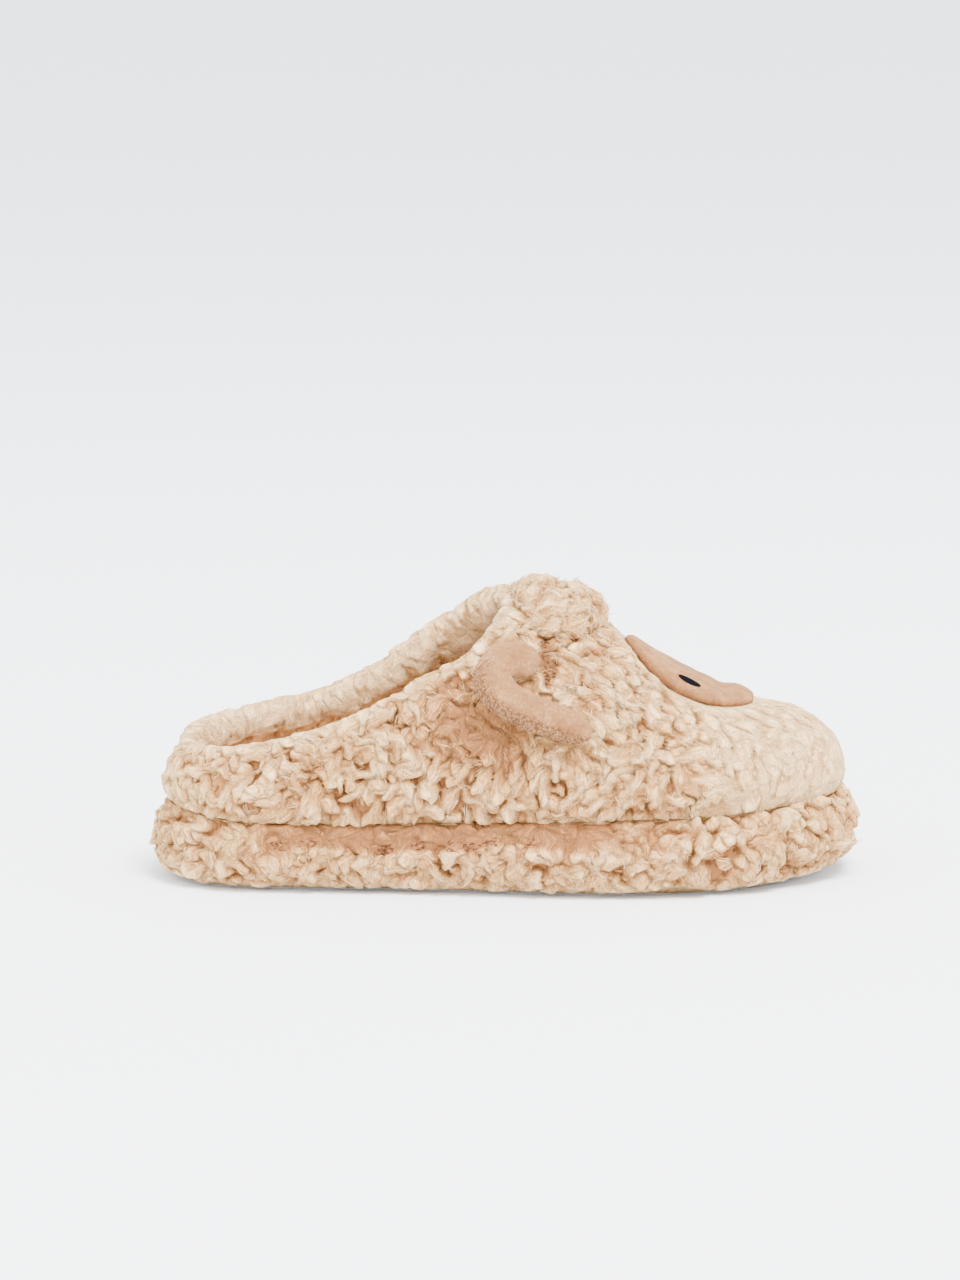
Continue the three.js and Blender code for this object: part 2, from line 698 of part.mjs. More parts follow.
place("outsole", outsole, soleGrey);
place("midsole_wrap", wrapGeometry(), cream);
place("insole", insole, cream);
place("upper", upperGeometry(), cream);
place("topknot", topknotGeometry(), cream);
place("face_patch", faceGeometry(), tan);
place("eye_lateral", eyeGeometry(-1), ink);
place("eye_medial", eyeGeometry(1), ink);
place("ear_lateral", earGeometry(-1), tan);
place("ear_medial", earGeometry(1), tan);

export default slipper;
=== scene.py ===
# Looks of a plush slipper with a lamb's face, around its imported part.
# Lengths are in millimetres until make_piece writes them in metres.
# x runs from the heel of the upper to its toe.

import bpy
import numpy as np
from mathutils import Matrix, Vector


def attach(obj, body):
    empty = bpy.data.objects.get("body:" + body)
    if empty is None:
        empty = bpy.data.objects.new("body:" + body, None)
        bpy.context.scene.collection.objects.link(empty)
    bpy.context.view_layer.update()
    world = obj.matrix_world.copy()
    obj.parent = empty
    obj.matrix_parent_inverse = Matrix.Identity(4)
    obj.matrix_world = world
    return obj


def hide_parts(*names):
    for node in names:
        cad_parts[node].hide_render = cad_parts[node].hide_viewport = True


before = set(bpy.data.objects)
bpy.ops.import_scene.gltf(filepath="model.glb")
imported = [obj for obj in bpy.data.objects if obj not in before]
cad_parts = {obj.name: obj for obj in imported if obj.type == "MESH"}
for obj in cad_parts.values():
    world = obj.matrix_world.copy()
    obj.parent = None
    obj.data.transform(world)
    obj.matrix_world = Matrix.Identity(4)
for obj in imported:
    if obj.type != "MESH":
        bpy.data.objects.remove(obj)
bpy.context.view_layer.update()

# The last, as in the part's source
UPPER_LENGTH = 250.0
BALL_HALF_WIDTH = 46.5
TOE_SWING = 6.0
INSTEP_HEIGHT = 101.5
HEEL_COLLAR_HEIGHT = 47.5
TOE_BOX_HEIGHT = 57.0
PLATFORM_HEIGHT = 26.0
THROAT_FROM_HEEL = 128.0
ORIGIN_FROM_HEEL = UPPER_LENGTH / 2
HEEL_CAP_LENGTH = 40.0
TOE_CAP_LENGTH = 70.0
OUTLINE_POWER = 2.25
ARCH_POWER = 2.3
TOE_ARCH_POWER = 3.7

# Walls and pads
UPPER_WALL = 6.0
CLEARANCE = 0.3
FEATHER_TUCK = 4.0
FEATHER_TUCK_HEIGHT = 9.0
INSOLE_THICKNESS = 4.5
OUTSOLE_THICKNESS = 4.0
OUTSOLE_INSET = 6.0
TOE_SPRING = 4.0
HEEL_SPRING = 1.0
WRAP_PROUD = 4.0
SKIRT_GAP = 0.8
SKIRT_FLOOR_GAP = 0.9
TOPKNOT = {"from_heel": 143.5, "half_length": 15.5, "half_width": 24.0, "thickness": 6.0}
FACE = {"from_heel": 192.0, "half_length": 23.5, "half_width": 20.5, "thickness": 4.2, "taper": 0.06}
FACE_SWELLS = {"at": [-0.38, 0.5, 0.74], "high": [0.8, -1.7, 0.7], "long": [0.3, 0.15, 0.2]}
EYE = {"from_heel": 190.0, "from_centre": 15.0, "half_length": 4.3, "half_width": 2.0, "thickness": 0.5}
EAR = {"length": 72.0, "width": 13.5, "thickness": 7.0, "bend_from_heel": 121.0, "bend_height": 79.5}

SECTIONS = {
    "at": [0, 0.06, 0.13, 0.22, 0.31, 0.385, 0.45, 0.512, 0.6, 0.66, 0.72, 0.785, 0.86, 0.93, 1],
    "lateral": [0.71, 0.72, 0.735, 0.76, 0.785, 0.82, 0.87, 0.92, 0.98, 1, 1, 0.98, 0.94, 0.89, 0.85],
    "medial": [0.71, 0.71, 0.72, 0.735, 0.745, 0.76, 0.8, 0.85, 0.92, 0.96, 0.99, 1, 0.98, 0.95, 0.92],
    "swing": [0, 0, 0, 0, 0, 0, 0.02, 0.05, 0.1, 0.16, 0.25, 0.38, 0.58, 0.8, 1],
    "seam": [1.03, 0.94, 0.87, 0.85, 0.87, 0.9, 0.92, 0.94, 0.97, 0.99, 1, 1.01, 1.04, 1.08, 1.12],
    "rise": [0, 0.06, 0.21, 0.37, 0.66, 0.94, 1.03, 1.02, 0.88, 0.7, 0.43, 0.245, 0.145, 0.135, 0.06],
    "roll": [0.55, 0.75, 0.9, 1, 1, 1, 1, 1, 1, 1, 1, 1, 1, 0.95, 0.9],
    "nap": [0.6, 0.75, 0.9, 1, 1, 1, 1, 1, 1, 0.95, 0.8, 0.56, 0.37, 0.28, 0.2],
}
COLLAR = {
    "at": [0, 0.05, 0.13, 0.22, 0.4, 0.58, 0.73, 0.86, 0.94, 1],
    "lateral": [0.64, 0.66, 0.625, 0.61, 0.625, 0.65, 0.695, 0.76, 0.87, 1],
    "medial": [0.64, 0.685, 0.68, 0.675, 0.68, 0.7, 0.765, 0.87, 0.95, 1],
}
COLLAR_LEAD = 0.42
DART = {"from_heel": 139.6, "half_width": 1.9, "bottom": 76.0, "top": 96.0, "depth": 1.8}
UNDER_EAR = {"from_heel": 117.0, "half_length": 17.0, "height": 61.0, "half_height": 12.0}
EAR_CROOK = {"from_heel": 141.0, "half_length": 8.0, "height": 72.0, "half_height": 6.0}
HANGING_TUFTS = {"from_heel": 188.0, "half_length": 24.0, "full_to": 10.0, "up_to": 22.0, "longer": 0.4}
EAR_LINE = {
    "at": [0, 0.12, 0.26, 0.4, 0.54, 0.68, 0.82, 0.93, 1],
    "forward": [0.215, 0.12, 0.035, 0, 0.06, 0.165, 0.3, 0.41, 0.475],
    "up": [0.015, 0.045, 0.02, -0.05, -0.13, -0.185, -0.235, -0.275, -0.3],
    "width": [0.8, 0.94, 1, 1.04, 1, 0.97, 0.93, 0.84, 0.62],
    "full": [0.5, 0.9, 1, 1, 1, 0.98, 0.9, 0.75, 0.35],
    "off": [0.3, 0.62, 0.75, 0.8, 0.8, 0.78, 0.72, 0.65, 0.6],
}


def smooth_column(table, name):
    """A smooth curve through one column: cubic pieces whose slope at a row is that between its neighbours."""
    at = np.array(table["at"], float)
    value = np.array(table[name], float)
    before = np.maximum(np.arange(len(at)) - 1, 0)
    after = np.minimum(np.arange(len(at)) + 1, len(at) - 1)
    slope = (value[after] - value[before]) / (at[after] - at[before])

    def read(share):
        s = np.clip(share, at[0], at[-1])
        i = np.clip(np.searchsorted(at, s, side="right") - 1, 0, len(at) - 2)
        span = at[i + 1] - at[i]
        f = (s - at[i]) / span
        rest = 1 - f
        ends = rest**2 * (1 + 2 * f) * value[i] + f**2 * (3 - 2 * f) * value[i + 1]
        return ends + span * f * rest * (rest * slope[i] - f * slope[i + 1])

    return read


section = {name: smooth_column(SECTIONS, name) for name in SECTIONS if name != "at"}
collar = {name: smooth_column(COLLAR, name) for name in ("lateral", "medial")}
ear_line = {name: smooth_column(EAR_LINE, name) for name in EAR_LINE if name != "at"}


def unit(vectors):
    """Vectors over their lengths."""
    return vectors / np.maximum(np.linalg.norm(vectors, axis=-1, keepdims=True), 1e-9)


def smooth_step(value, low, high):
    """0 up to low, 1 from high, and a smooth S between them."""
    s = np.clip((value - low) / (high - low), 0, 1)
    return s * s * (3 - 2 * s)


def between(value, start, full, last, end):
    """0 up to start, 1 from full to last, 0 again from end, and a smooth S on each side."""
    return smooth_step(value, start, full) * smooth_step(value, end, last)


def bell(value, middle, width):
    """A bell curve: 1 at its middle, and almost nothing two widths away from it."""
    return np.exp(-(((value - middle) / width) ** 2))


def stack(x, y, z):
    """Points from their three coordinates, broadcast together."""
    return np.stack(np.broadcast_arrays(x, y, z), axis=-1).astype(float)


# The last


def centre_at(x):
    return TOE_SWING * section["swing"](x / UPPER_LENGTH)


def seam_at(x):
    return PLATFORM_HEIGHT * section["seam"](x / UPPER_LENGTH)


def full_half_width(x, side):
    share = np.where(side < 0, section["lateral"](x / UPPER_LENGTH), section["medial"](x / UPPER_LENGTH))
    return BALL_HALF_WIDTH * share


def end_share(x):
    into_heel = (HEEL_CAP_LENGTH - x) / HEEL_CAP_LENGTH
    into_toe = (x - (UPPER_LENGTH - TOE_CAP_LENGTH)) / TOE_CAP_LENGTH
    return np.clip(np.maximum(into_heel, into_toe), 0, 1)


HEEL_SEAM = float(seam_at(0.0))
HEEL_CROWN = HEEL_SEAM + (HEEL_COLLAR_HEIGHT - HEEL_SEAM) / COLLAR["lateral"][0]


def crown_at(x):
    low = np.where(x < THROAT_FROM_HEEL, HEEL_CROWN, TOE_BOX_HEIGHT)
    return low + (INSTEP_HEIGHT - low) * section["rise"](x / UPPER_LENGTH)


def dome_height(x, y):
    """The last over (x, y): a superellipse arch from the seam to the crown, squarer towards the toe."""
    offset = y - centre_at(x)
    across = np.abs(offset) / full_half_width(x, offset)
    end = end_share(x)
    reach = np.minimum(1, (across**OUTLINE_POWER + end**OUTLINE_POWER) ** (1 / OUTLINE_POWER))
    toeward = np.where(x > THROAT_FROM_HEEL, end**2 / (end**2 + across**2 + 1e-6), 0)
    power = ARCH_POWER + (TOE_ARCH_POWER - ARCH_POWER) * toeward
    arch = np.maximum(1 - reach**power, 0) ** (1 / power)
    return seam_at(x) + (crown_at(x) - seam_at(x)) * arch


def dome_normal(x, y):
    """The unit normal of the last over (x, y), from its slopes."""
    step = 0.5
    along_x = dome_height(x + step, y) - dome_height(x - step, y)
    along_y = dome_height(x, y + step) - dome_height(x, y - step)
    return unit(stack(-along_x, -along_y, 2 * step))


def foot_point(angle):
    """The plan outline: a superellipse end at heel and toe, its angle running round the lateral side."""
    side = np.where(np.sin(angle) > 0, -1, 1)
    x = UPPER_LENGTH * (1 - np.cos(angle)) / 2
    rounding = np.maximum(1 - end_share(x) ** OUTLINE_POWER, 0) ** (1 / OUTLINE_POWER)
    return stack(x, centre_at(x) + side * rounding * full_half_width(x, side), 0)


def outward_at(angle):
    """The level unit normal of the plan outline."""
    along = foot_point(angle + 0.01) - foot_point(angle - 0.01)
    return unit(stack(along[..., 1], -along[..., 0], 0))


def outline_point(angle, grow):
    return foot_point(angle) + outward_at(angle) * np.asarray(grow)[..., None]


def spring_at(x):
    share = np.clip(x / UPPER_LENGTH, 0, 1)
    toe = np.maximum(0, (share - 0.78) / 0.22)
    heel = np.maximum(0, (0.08 - share) / 0.08)
    return TOE_SPRING * toe**2 + HEEL_SPRING * heel**2


def arch_reach(rise):
    return np.maximum(1 - rise**ARCH_POWER, 0) ** (1 / ARCH_POWER)


COLLAR_HEEL_X = HEEL_CAP_LENGTH * (1 - float(arch_reach(COLLAR["lateral"][0])))


def collar_point(angle):
    """The collar's loop: its height is a share of the arch's, and it lies on the arch at that height."""
    side = np.where(np.sin(angle) > 0, -1, 1)
    share = (1 - np.cos(angle)) / 2
    x = COLLAR_HEEL_X + (THROAT_FROM_HEEL - COLLAR_HEEL_X) * share
    rise = np.minimum(1, np.where(side < 0, collar["lateral"](share), collar["medial"](share)))
    inside = arch_reach(rise) ** OUTLINE_POWER - end_share(x) ** OUTLINE_POWER
    reach = np.maximum(0, inside) ** (1 / OUTLINE_POWER)
    z = seam_at(x) + (crown_at(x) - seam_at(x)) * rise
    return stack(x, centre_at(x) + side * reach * full_half_width(x, side), z)


def round_angles(count):
    return np.arange(count) / count * 2 * np.pi


def upper_grid(columns, rows):
    """Lines up the last from the feather edge to the collar, each with its points evenly spaced."""
    angle = round_angles(columns)[:, None]
    share = (np.linspace(0, 1, 145) ** 2.4)[None, :]
    foot = foot_point(angle)
    rim = collar_point(angle + COLLAR_LEAD * np.sin(angle))
    x = foot[..., 0] + (rim[..., 0] - foot[..., 0]) * share
    y = foot[..., 1] + (rim[..., 1] - foot[..., 1]) * share
    z = dome_height(x, y)
    z[:, -1] = rim[:, 0, 2]
    low = 1 - np.clip((z - seam_at(x)) / FEATHER_TUCK_HEIGHT, 0, 1)
    points = stack(x, y, z + CLEARANCE) - outward_at(angle) * (FEATHER_TUCK * low**2)[..., None]
    steps = np.linalg.norm(np.diff(points, axis=1), axis=-1)
    run = np.concatenate([np.zeros((columns, 1)), np.cumsum(steps, axis=1)], axis=1)
    run /= run[:, -1:]
    wanted = np.linspace(0, 1, rows + 1)
    index = np.clip((run[:, None, :] <= wanted[None, :, None]).sum(axis=2) - 1, 0, run.shape[1] - 2)
    line = np.arange(columns)[:, None]
    span = run[line, index + 1] - run[line, index]
    f = ((wanted[None, :] - run[line, index]) / span)[..., None]
    even = points[line, index] * (1 - f) + points[line, index + 1] * f
    return even.transpose(1, 0, 2)


def grid_normals(grid):
    """Unit normals of a grid whose columns run round, from the lines to each point's neighbours."""
    around = np.roll(grid, -1, axis=1) - np.roll(grid, 1, axis=1)
    return unit(np.cross(around, np.gradient(grid, axis=0)))


# Meshes


def quads_of(rows, columns, ring=False):
    """Faces of a grid, rows by columns, with its columns closed round, and its rows too if ring."""
    r = np.arange(rows if ring else rows - 1)[:, None]
    c = np.arange(columns)[None, :]
    near = r * columns
    far = (r + 1) % rows * columns
    following = (c + 1) % columns
    return np.stack([near + c, near + following, far + following, far + c], axis=-1).reshape(-1, 4)


def make_piece(name, points, faces, finish, node=None, attributes=None):
    """A joined mesh from points in millimetres from the heel, and from arrays of faces with equal corners."""
    mesh = bpy.data.meshes.new(name)
    moved = (points.reshape(-1, 3) - np.array([ORIGIN_FROM_HEEL, 0, 0])) * 0.001
    totals = np.concatenate([np.full(len(part), part.shape[1]) for part in faces])
    mesh.vertices.add(len(moved))
    mesh.vertices.foreach_set("co", moved.astype(np.float32).ravel())
    corners = np.concatenate([part.ravel() for part in faces])
    mesh.loops.add(len(corners))
    mesh.loops.foreach_set("vertex_index", corners.astype(np.int32))
    mesh.polygons.add(len(totals))
    mesh.polygons.foreach_set("loop_start", np.concatenate([[0], np.cumsum(totals)[:-1]]).astype(np.int32))
    mesh.polygons.foreach_set("use_smooth", np.ones(len(totals), bool))
    for label, values in (attributes or {}).items():
        kind = "FLOAT" if values.ndim == 1 else "FLOAT_VECTOR"
        layer = mesh.attributes.new(label, kind, "POINT")
        layer.data.foreach_set("value" if values.ndim == 1 else "vector", values.astype(np.float32).ravel())
    mesh.update(calc_edges=True)
    mesh.validate()
    piece = bpy.data.objects.new(name, mesh)
    bpy.context.collection.objects.link(piece)
    mesh.materials.append(finish)
    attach(piece, "root")
    if node:
        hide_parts(node)
    return piece


# Finishes


class Finish:
    """A cloth or rubber material, with short calls for its nodes."""

    def __init__(self, name, color, roughness=0.9, sheen=0.0, sheen_tint=(1, 1, 1, 1)):
        self.material = bpy.data.materials.new(name)
        self.material.use_nodes = True
        self.tree = self.material.node_tree
        self.shader = self.tree.nodes["Principled BSDF"]
        self.shader.inputs["Base Color"].default_value = (*color, 1)
        self.shader.inputs["Roughness"].default_value = roughness
        self.shader.inputs["Specular IOR Level"].default_value = 0.08
        self.shader.inputs["Sheen Weight"].default_value = sheen
        self.shader.inputs["Sheen Roughness"].default_value = 0.5
        self.shader.inputs["Sheen Tint"].default_value = sheen_tint

    def node(self, kind, inputs=None, **settings):
        made = self.tree.nodes.new(kind)
        for key, value in settings.items():
            setattr(made, key, value)
        for key, value in (inputs or {}).items():
            if isinstance(value, bpy.types.NodeSocket):
                self.tree.links.new(value, made.inputs[key])
            else:
                made.inputs[key].default_value = value
        return made

    def noise(self, place, scale, detail=2.0, roughness=0.5):
        inputs = {"Vector": place, "Scale": scale, "Detail": detail, "Roughness": roughness}
        return self.node("ShaderNodeTexNoise", inputs).outputs["Fac"]

    def place(self, stretch=(1, 1, 1), attribute=None):
        if attribute:
            source = self.node("ShaderNodeAttribute", attribute_name=attribute).outputs["Vector"]
        else:
            source = self.node("ShaderNodeTexCoord").outputs["Object"]
        return self.node("ShaderNodeMapping", {"Vector": source, "Scale": stretch}).outputs["Vector"]

    def value_of(self, attribute):
        return self.node("ShaderNodeAttribute", attribute_name=attribute).outputs["Fac"]

    def maths(self, operation, a, b):
        return self.node("ShaderNodeMath", {0: a, 1: b}, operation=operation).outputs[0]

    def ramp(self, value, stops):
        made = self.node("ShaderNodeValToRGB", {"Fac": value})
        elements = made.color_ramp.elements
        elements[0].position, elements[1].position = stops[0][0], stops[-1][0]
        elements[0].color, elements[1].color = (*stops[0][1], 1), (*stops[-1][1], 1)
        for position, color in stops[1:-1]:
            elements.new(position).color = (*color, 1)
        return made.outputs["Color"]

    def color(self, socket):
        self.tree.links.new(socket, self.shader.inputs["Base Color"])

    def bump(self, layers):
        """Bump from (height, depth in millimetres, strength) layers, one over the other."""
        normal = None
        for height, depth, strength in layers:
            inputs = {"Height": height, "Distance": depth * 0.001, "Strength": strength}
            if normal is not None:
                inputs["Normal"] = normal
            normal = self.node("ShaderNodeBump", inputs).outputs["Normal"]
        self.tree.links.new(normal, self.shader.inputs["Normal"])


# The two darkest fleece colours are painted shade: the pile down in the hollows between tufts, in the groove
# and under the ear.
COMBED_IN_SHADE = (0.2, 0.08, 0.03)
CREAM_IN_HOLLOW_SHADE = (0.35, 0.14, 0.042)
CREAM_MID = (0.57, 0.3, 0.108)
CREAM_TIP = (0.88, 0.59, 0.305)
TAN = (0.262, 0.116, 0.043)
TAN_DEEP = (0.15, 0.052, 0.016)
TAN_PALE = (0.5, 0.26, 0.11)
LINING_DEEP = (0.42, 0.235, 0.135)
LINING_PALE = (0.66, 0.43, 0.27)
STITCH = (0.11, 0.035, 0.014)
LOWEST_TONE = 0.14
WARM_SHEEN = (1.0, 0.72, 0.45, 1)


def soften(finish, weight, scale_mm):
    """Light passes into the pile and comes out warmer."""
    finish.shader.inputs["Subsurface Weight"].default_value = weight
    finish.shader.inputs["Subsurface Radius"].default_value = (1.0, 0.62, 0.38)
    finish.shader.inputs["Subsurface Scale"].default_value = scale_mm * 0.001


def curly_finish(name):
    """Fleece: pale at the tips, and warm and dark in the hollows as painted shade, with fibres running along
    each tuft.
    """
    finish = Finish(name, CREAM_MID, 0.9, sheen=0.1, sheen_tint=WARM_SHEEN)
    fibres = finish.noise(finish.place((0.16, 1.5, 1.0), "strand"), 1.0, detail=4.0, roughness=0.72)
    fuzz = finish.noise(finish.place((1.0, 1.0, 0.5)), 1700.0, detail=2.0, roughness=0.6)
    stirred = finish.maths("MULTIPLY", finish.maths("SUBTRACT", fibres, 0.5), 1.6)
    stirred = finish.maths("ADD", stirred, finish.maths("MULTIPLY", finish.maths("SUBTRACT", fuzz, 0.5), 0.7))
    tone = finish.maths("MAXIMUM", finish.maths("ADD", finish.value_of("tip"), stirred), LOWEST_TONE)
    spots = finish.noise(finish.place((0.8, 1.0, 1.6)), 800.0, detail=2.0)
    flecks = finish.maths("GREATER_THAN", spots, 0.53)
    tone = finish.maths("SUBTRACT", tone, finish.maths("MULTIPLY", flecks, finish.value_of("seam")))
    stops = [(0.0, STITCH), (0.05, COMBED_IN_SHADE), (0.24, CREAM_IN_HOLLOW_SHADE), (0.6, CREAM_MID), (1.0, CREAM_TIP)]
    finish.color(finish.ramp(tone, stops))
    finish.bump([(fibres, 2.3, 1.0), (fuzz, 0.5, 0.8)])
    soften(finish, 0.3, 1.8)
    return finish.material


def pile_finish(name, stretch, deep, pale):
    """Short pile: fine noise, drawn out the way it is combed, over soft blotches of tone."""
    finish = Finish(name, pale, 0.95, sheen=0.15, sheen_tint=WARM_SHEEN)
    fine = finish.noise(finish.place(stretch), 620.0, detail=3.0, roughness=0.65)
    broad = finish.noise(finish.place(), 70.0, detail=2.0)
    tone = finish.maths("ADD", finish.maths("MULTIPLY", fine, 0.6), finish.maths("MULTIPLY", broad, 0.4))
    finish.color(finish.ramp(tone, [(0.3, deep), (0.65, pale)]))
    finish.bump([(broad, 1.5, 0.5), (fine, 0.8, 0.9)])
    return finish.material


def velour_finish(name, sheen, band=None):
    """Velour: a close nap, brushed lighter and darker in patches. The attribute named by band roughens it."""
    finish = Finish(name, TAN, 0.9, sheen=sheen, sheen_tint=WARM_SHEEN)
    nap = finish.noise(finish.place(), 1000.0, detail=4.0, roughness=0.75)
    brushed = finish.noise(finish.place(), 150.0, detail=3.0, roughness=0.6)
    tone = finish.maths("ADD", finish.maths("MULTIPLY", nap, 0.6), finish.maths("MULTIPLY", brushed, 0.5))
    layers = [(brushed, 1.6, 0.6), (nap, 0.9, 1.0)]
    if band:
        loops = finish.node("ShaderNodeTexVoronoi", {"Vector": finish.place(), "Scale": 1000.0})
        above = finish.maths("SUBTRACT", 0.45, loops.outputs["Distance"])
        rough = finish.maths("MULTIPLY", above, finish.value_of(band))
        tone = finish.maths("ADD", tone, finish.maths("MULTIPLY", rough, 0.8))
        tone = finish.maths("SUBTRACT", tone, finish.maths("MULTIPLY", finish.value_of(band), 0.08))
        layers.append((rough, 1.2, 1.0))
    finish.color(finish.ramp(tone, [(0.3, TAN_DEEP), (0.55, TAN), (0.8, TAN_PALE)]))
    finish.bump(layers)
    return finish.material


def thread_finish(name):
    """Black satin stitches side by side."""
    finish = Finish(name, (0.004, 0.004, 0.005), 0.9)
    finish.shader.inputs["Specular IOR Level"].default_value = 0.0
    turns = finish.noise(finish.place((3200, 300, 300)), 1.0, detail=1.0)
    finish.bump([(turns, 0.3, 0.8)])
    return finish.material


def sheet_finish(name):
    """Pale non-slip sheet with a fine raised dot grid and scuffs."""
    finish = Finish(name, (0.62, 0.61, 0.58), 0.7)
    dots = finish.node("ShaderNodeTexVoronoi", {"Vector": finish.place(), "Scale": 480.0, "Randomness": 0.0})
    dot = finish.maths("LESS_THAN", dots.outputs["Distance"], 0.33)
    scuff = finish.noise(finish.place(), 60.0, detail=4.0)
    finish.color(finish.ramp(scuff, [(0.3, (0.52, 0.51, 0.48)), (0.7, (0.68, 0.67, 0.64))]))
    finish.bump([(dot, 0.4, 0.7), (scuff, 0.2, 0.4)])
    return finish.material


curls = curly_finish("curly_fleece")
lining = pile_finish("lining_plush", (1.0, 1.0, 0.6), LINING_DEEP, LINING_PALE)
velour = velour_finish("face_velour", 0.12)
ear_velour = velour_finish("ear_velour", 0.25, band="edge")
thread = thread_finish("eye_thread")
sheet = sheet_finish("sole_sheet")

# Fleece as one surface: the highest of the tufts near each point

TUFT_COLUMNS = ("cell", "in_a_cell", "half_length", "half_width", "depth", "height", "lean")
CLUMP = dict(zip(TUFT_COLUMNS, (9.0, 4, 6.4, 4.2, 5.0, 5.4, 2.4)))
TUFT = dict(zip(TUFT_COLUMNS, (8.0, 4, 7.2, 2.6, 4.5, 5.1, 3.6)))
CURL = dict(zip(TUFT_COLUMNS, (4.2, 2, 3.9, 1.6, 3.0, 1.4, 0.0)))
PILE_COLUMNS = ("lean", "stir", "seed")
UPPER_PILE = dict(zip(PILE_COLUMNS, ((-0.1, 0, -0.8), 1.1, 5)))
WRAP_PILE = dict(zip(PILE_COLUMNS, ((0.1, 0, -0.8), 1.4, 9)))
TOPKNOT_PILE = dict(zip(PILE_COLUMNS, ((0.6, 0, 0.4), 1.6, 41)))
CURL_STIR = 0.6
OWN_TURN = 0.9
EDGE_WANDER = 0.3
HOLLOW = 2.3
FIBRE_SHIFT_ALONG = 40.0
FIBRE_SHIFT_UP = 9.0
SWIRL_LENGTH = 24.0
SWIRL_WAVES = np.array([1.6, 1.25, 1, 0.85, 0.7, 0.6])
LOTS = np.random.default_rng(7).random((4096, 5))
LOT_STEPS = np.array([127, 311, 743])
LOT_STEP_IN_CELL = 1733
PRESSED = {
    "seam": 0.75,
    "dart": 0.9,
    "under_ear": 0.45,
    "ear_crook": 0.6,
    "face": 0.6,
    "rim": 0.6,
    "band": 0.58,
}
# SHADED: painted shade taken off the fleece's tone in the groove over the seam, in the dart, in the ear's
# shadow and on the combed band; its negative rim share is painted light inside the collar.
SHADED = {"seam": 0.4, "dart": 0.9, "under_ear": 1.0, "rim": -0.12, "band": 0.32, "band_behind_ball": 0.4}


def swirl(point, wavelength, seed):
    """A smooth wandering number for each place: a sum of sine waves that run in seeded directions."""
    rng = np.random.default_rng(seed)
    waves = unit(rng.normal(size=(6, 3))) * 2 * np.pi / (wavelength * SWIRL_WAVES)[:, None]
    return np.sin(point @ waves.T + rng.random(6) * 2 * np.pi).sum(axis=1) / np.sqrt(3)


def dot(a, b):
    return np.sum(a * b, axis=-1)


def tufts_over(point, normal, lean, stir, sizes, seed):
    """The tuft that covers each point: a scattered dome, long the way it is combed and higher at its front,
    whose direction wanders from place to place. Gives its height there, its direction, and the place along
    and across it, which is shifted from tuft to tuft so that no two have the same fibres."""
    cell = sizes["cell"]
    flat = unit(lean - normal * dot(lean, normal)[:, None])
    side = np.cross(normal, flat)
    best = np.zeros(len(point))
    along = flat.copy()
    strand = np.zeros((len(point), 3))
    wander = np.stack([swirl(point, cell, seed + i) for i in range(3)], axis=-1)
    bent = point + EDGE_WANDER * sizes["half_width"] * wander
    for step in np.ndindex(3, 3, 3, sizes["in_a_cell"]):
        home = np.floor(point / cell).astype(int) + np.array(step[:3]) - 1
        lot = LOTS[(home @ LOT_STEPS + LOT_STEP_IN_CELL * step[3] + seed) % len(LOTS)]
        centre = (home + lot[:, :3]) * cell
        angle = (stir * swirl(centre, SWIRL_LENGTH, seed) + OWN_TURN * (lot[:, 3] - 0.5))[:, None]
        ahead = flat * np.cos(angle) + side * np.sin(angle)
        away = bent - centre
        u = dot(away, ahead) / sizes["half_length"]
        v = dot(away, np.cross(normal, ahead)) / sizes["half_width"]
        left = 1 - u**2 - v**2 - (dot(away, normal) / sizes["depth"]) ** 2
        height = np.sqrt(np.maximum(left, 0)) * (0.75 + 0.45 * u) * (0.65 + 0.35 * lot[:, 4])
        higher = height > best
        best = np.where(higher, height, best)
        along = np.where(higher[:, None], ahead, along)
        fibre = sizes["half_length"] * u + FIBRE_SHIFT_ALONG * lot[:, 4]
        place = stack(fibre, sizes["half_width"] * v, FIBRE_SHIFT_UP * lot[:, 3])
        strand = np.where(higher[:, None], place, strand)
    return best, along, strand


def fleeced(grid, normals, pile, nap, shade, seam, tuft=TUFT):
    """A grid raised into fleece: tufts with smaller curls on them, leaning over the way they are combed.
    Also gives each point's attributes: its tone, darker in the hollows and by the given shade as painted
    shade, its place on its tuft, and how far stitches show there."""
    point, normal = grid.reshape(-1, 3), normals.reshape(-1, 3)
    nap, shade, seam = nap.ravel(), shade.ravel(), seam.ravel()
    lean = np.broadcast_to(np.asarray(pile["lean"], float), point.shape)
    height, along, strand = tufts_over(point, normal, lean, pile["stir"], tuft, pile["seed"])
    curl, _, _ = tufts_over(point + along, normal, along, CURL_STIR, CURL, pile["seed"] + 1)
    rise = nap * (tuft["height"] * height + CURL["height"] * nap * curl * height - HOLLOW)
    forward = tuft["lean"] * (0.3 + 0.7 * nap) * height**2
    raised = point + normal * rise[:, None] + along * forward[:, None]
    # Painted shade: the tone is darker down in the hollows between tufts and curls, and darker again by the
    # given shade.
    tip = 1 - (1 - np.clip(0.95 * height + 0.25 * curl, 0, 1)) * (0.1 + 0.9 * nap) - shade
    return raised.reshape(grid.shape), {"tip": np.maximum(tip, LOWEST_TONE), "strand": strand, "seam": seam}


# Backings: closed shapes whose fleece side is raised

FINE_COLUMNS = 860
FINE_ROWS = 82
RIM_STEPS = 8
RIM_FULLNESS = 3.4
PILE_ROWS_INSIDE = 8
INNER_FROM = FINE_ROWS + 1 + RIM_STEPS
FIRST_LINING = INNER_FROM + PILE_ROWS_INSIDE
outer = upper_grid(FINE_COLUMNS, FINE_ROWS)
outer_normals = grid_normals(outer)


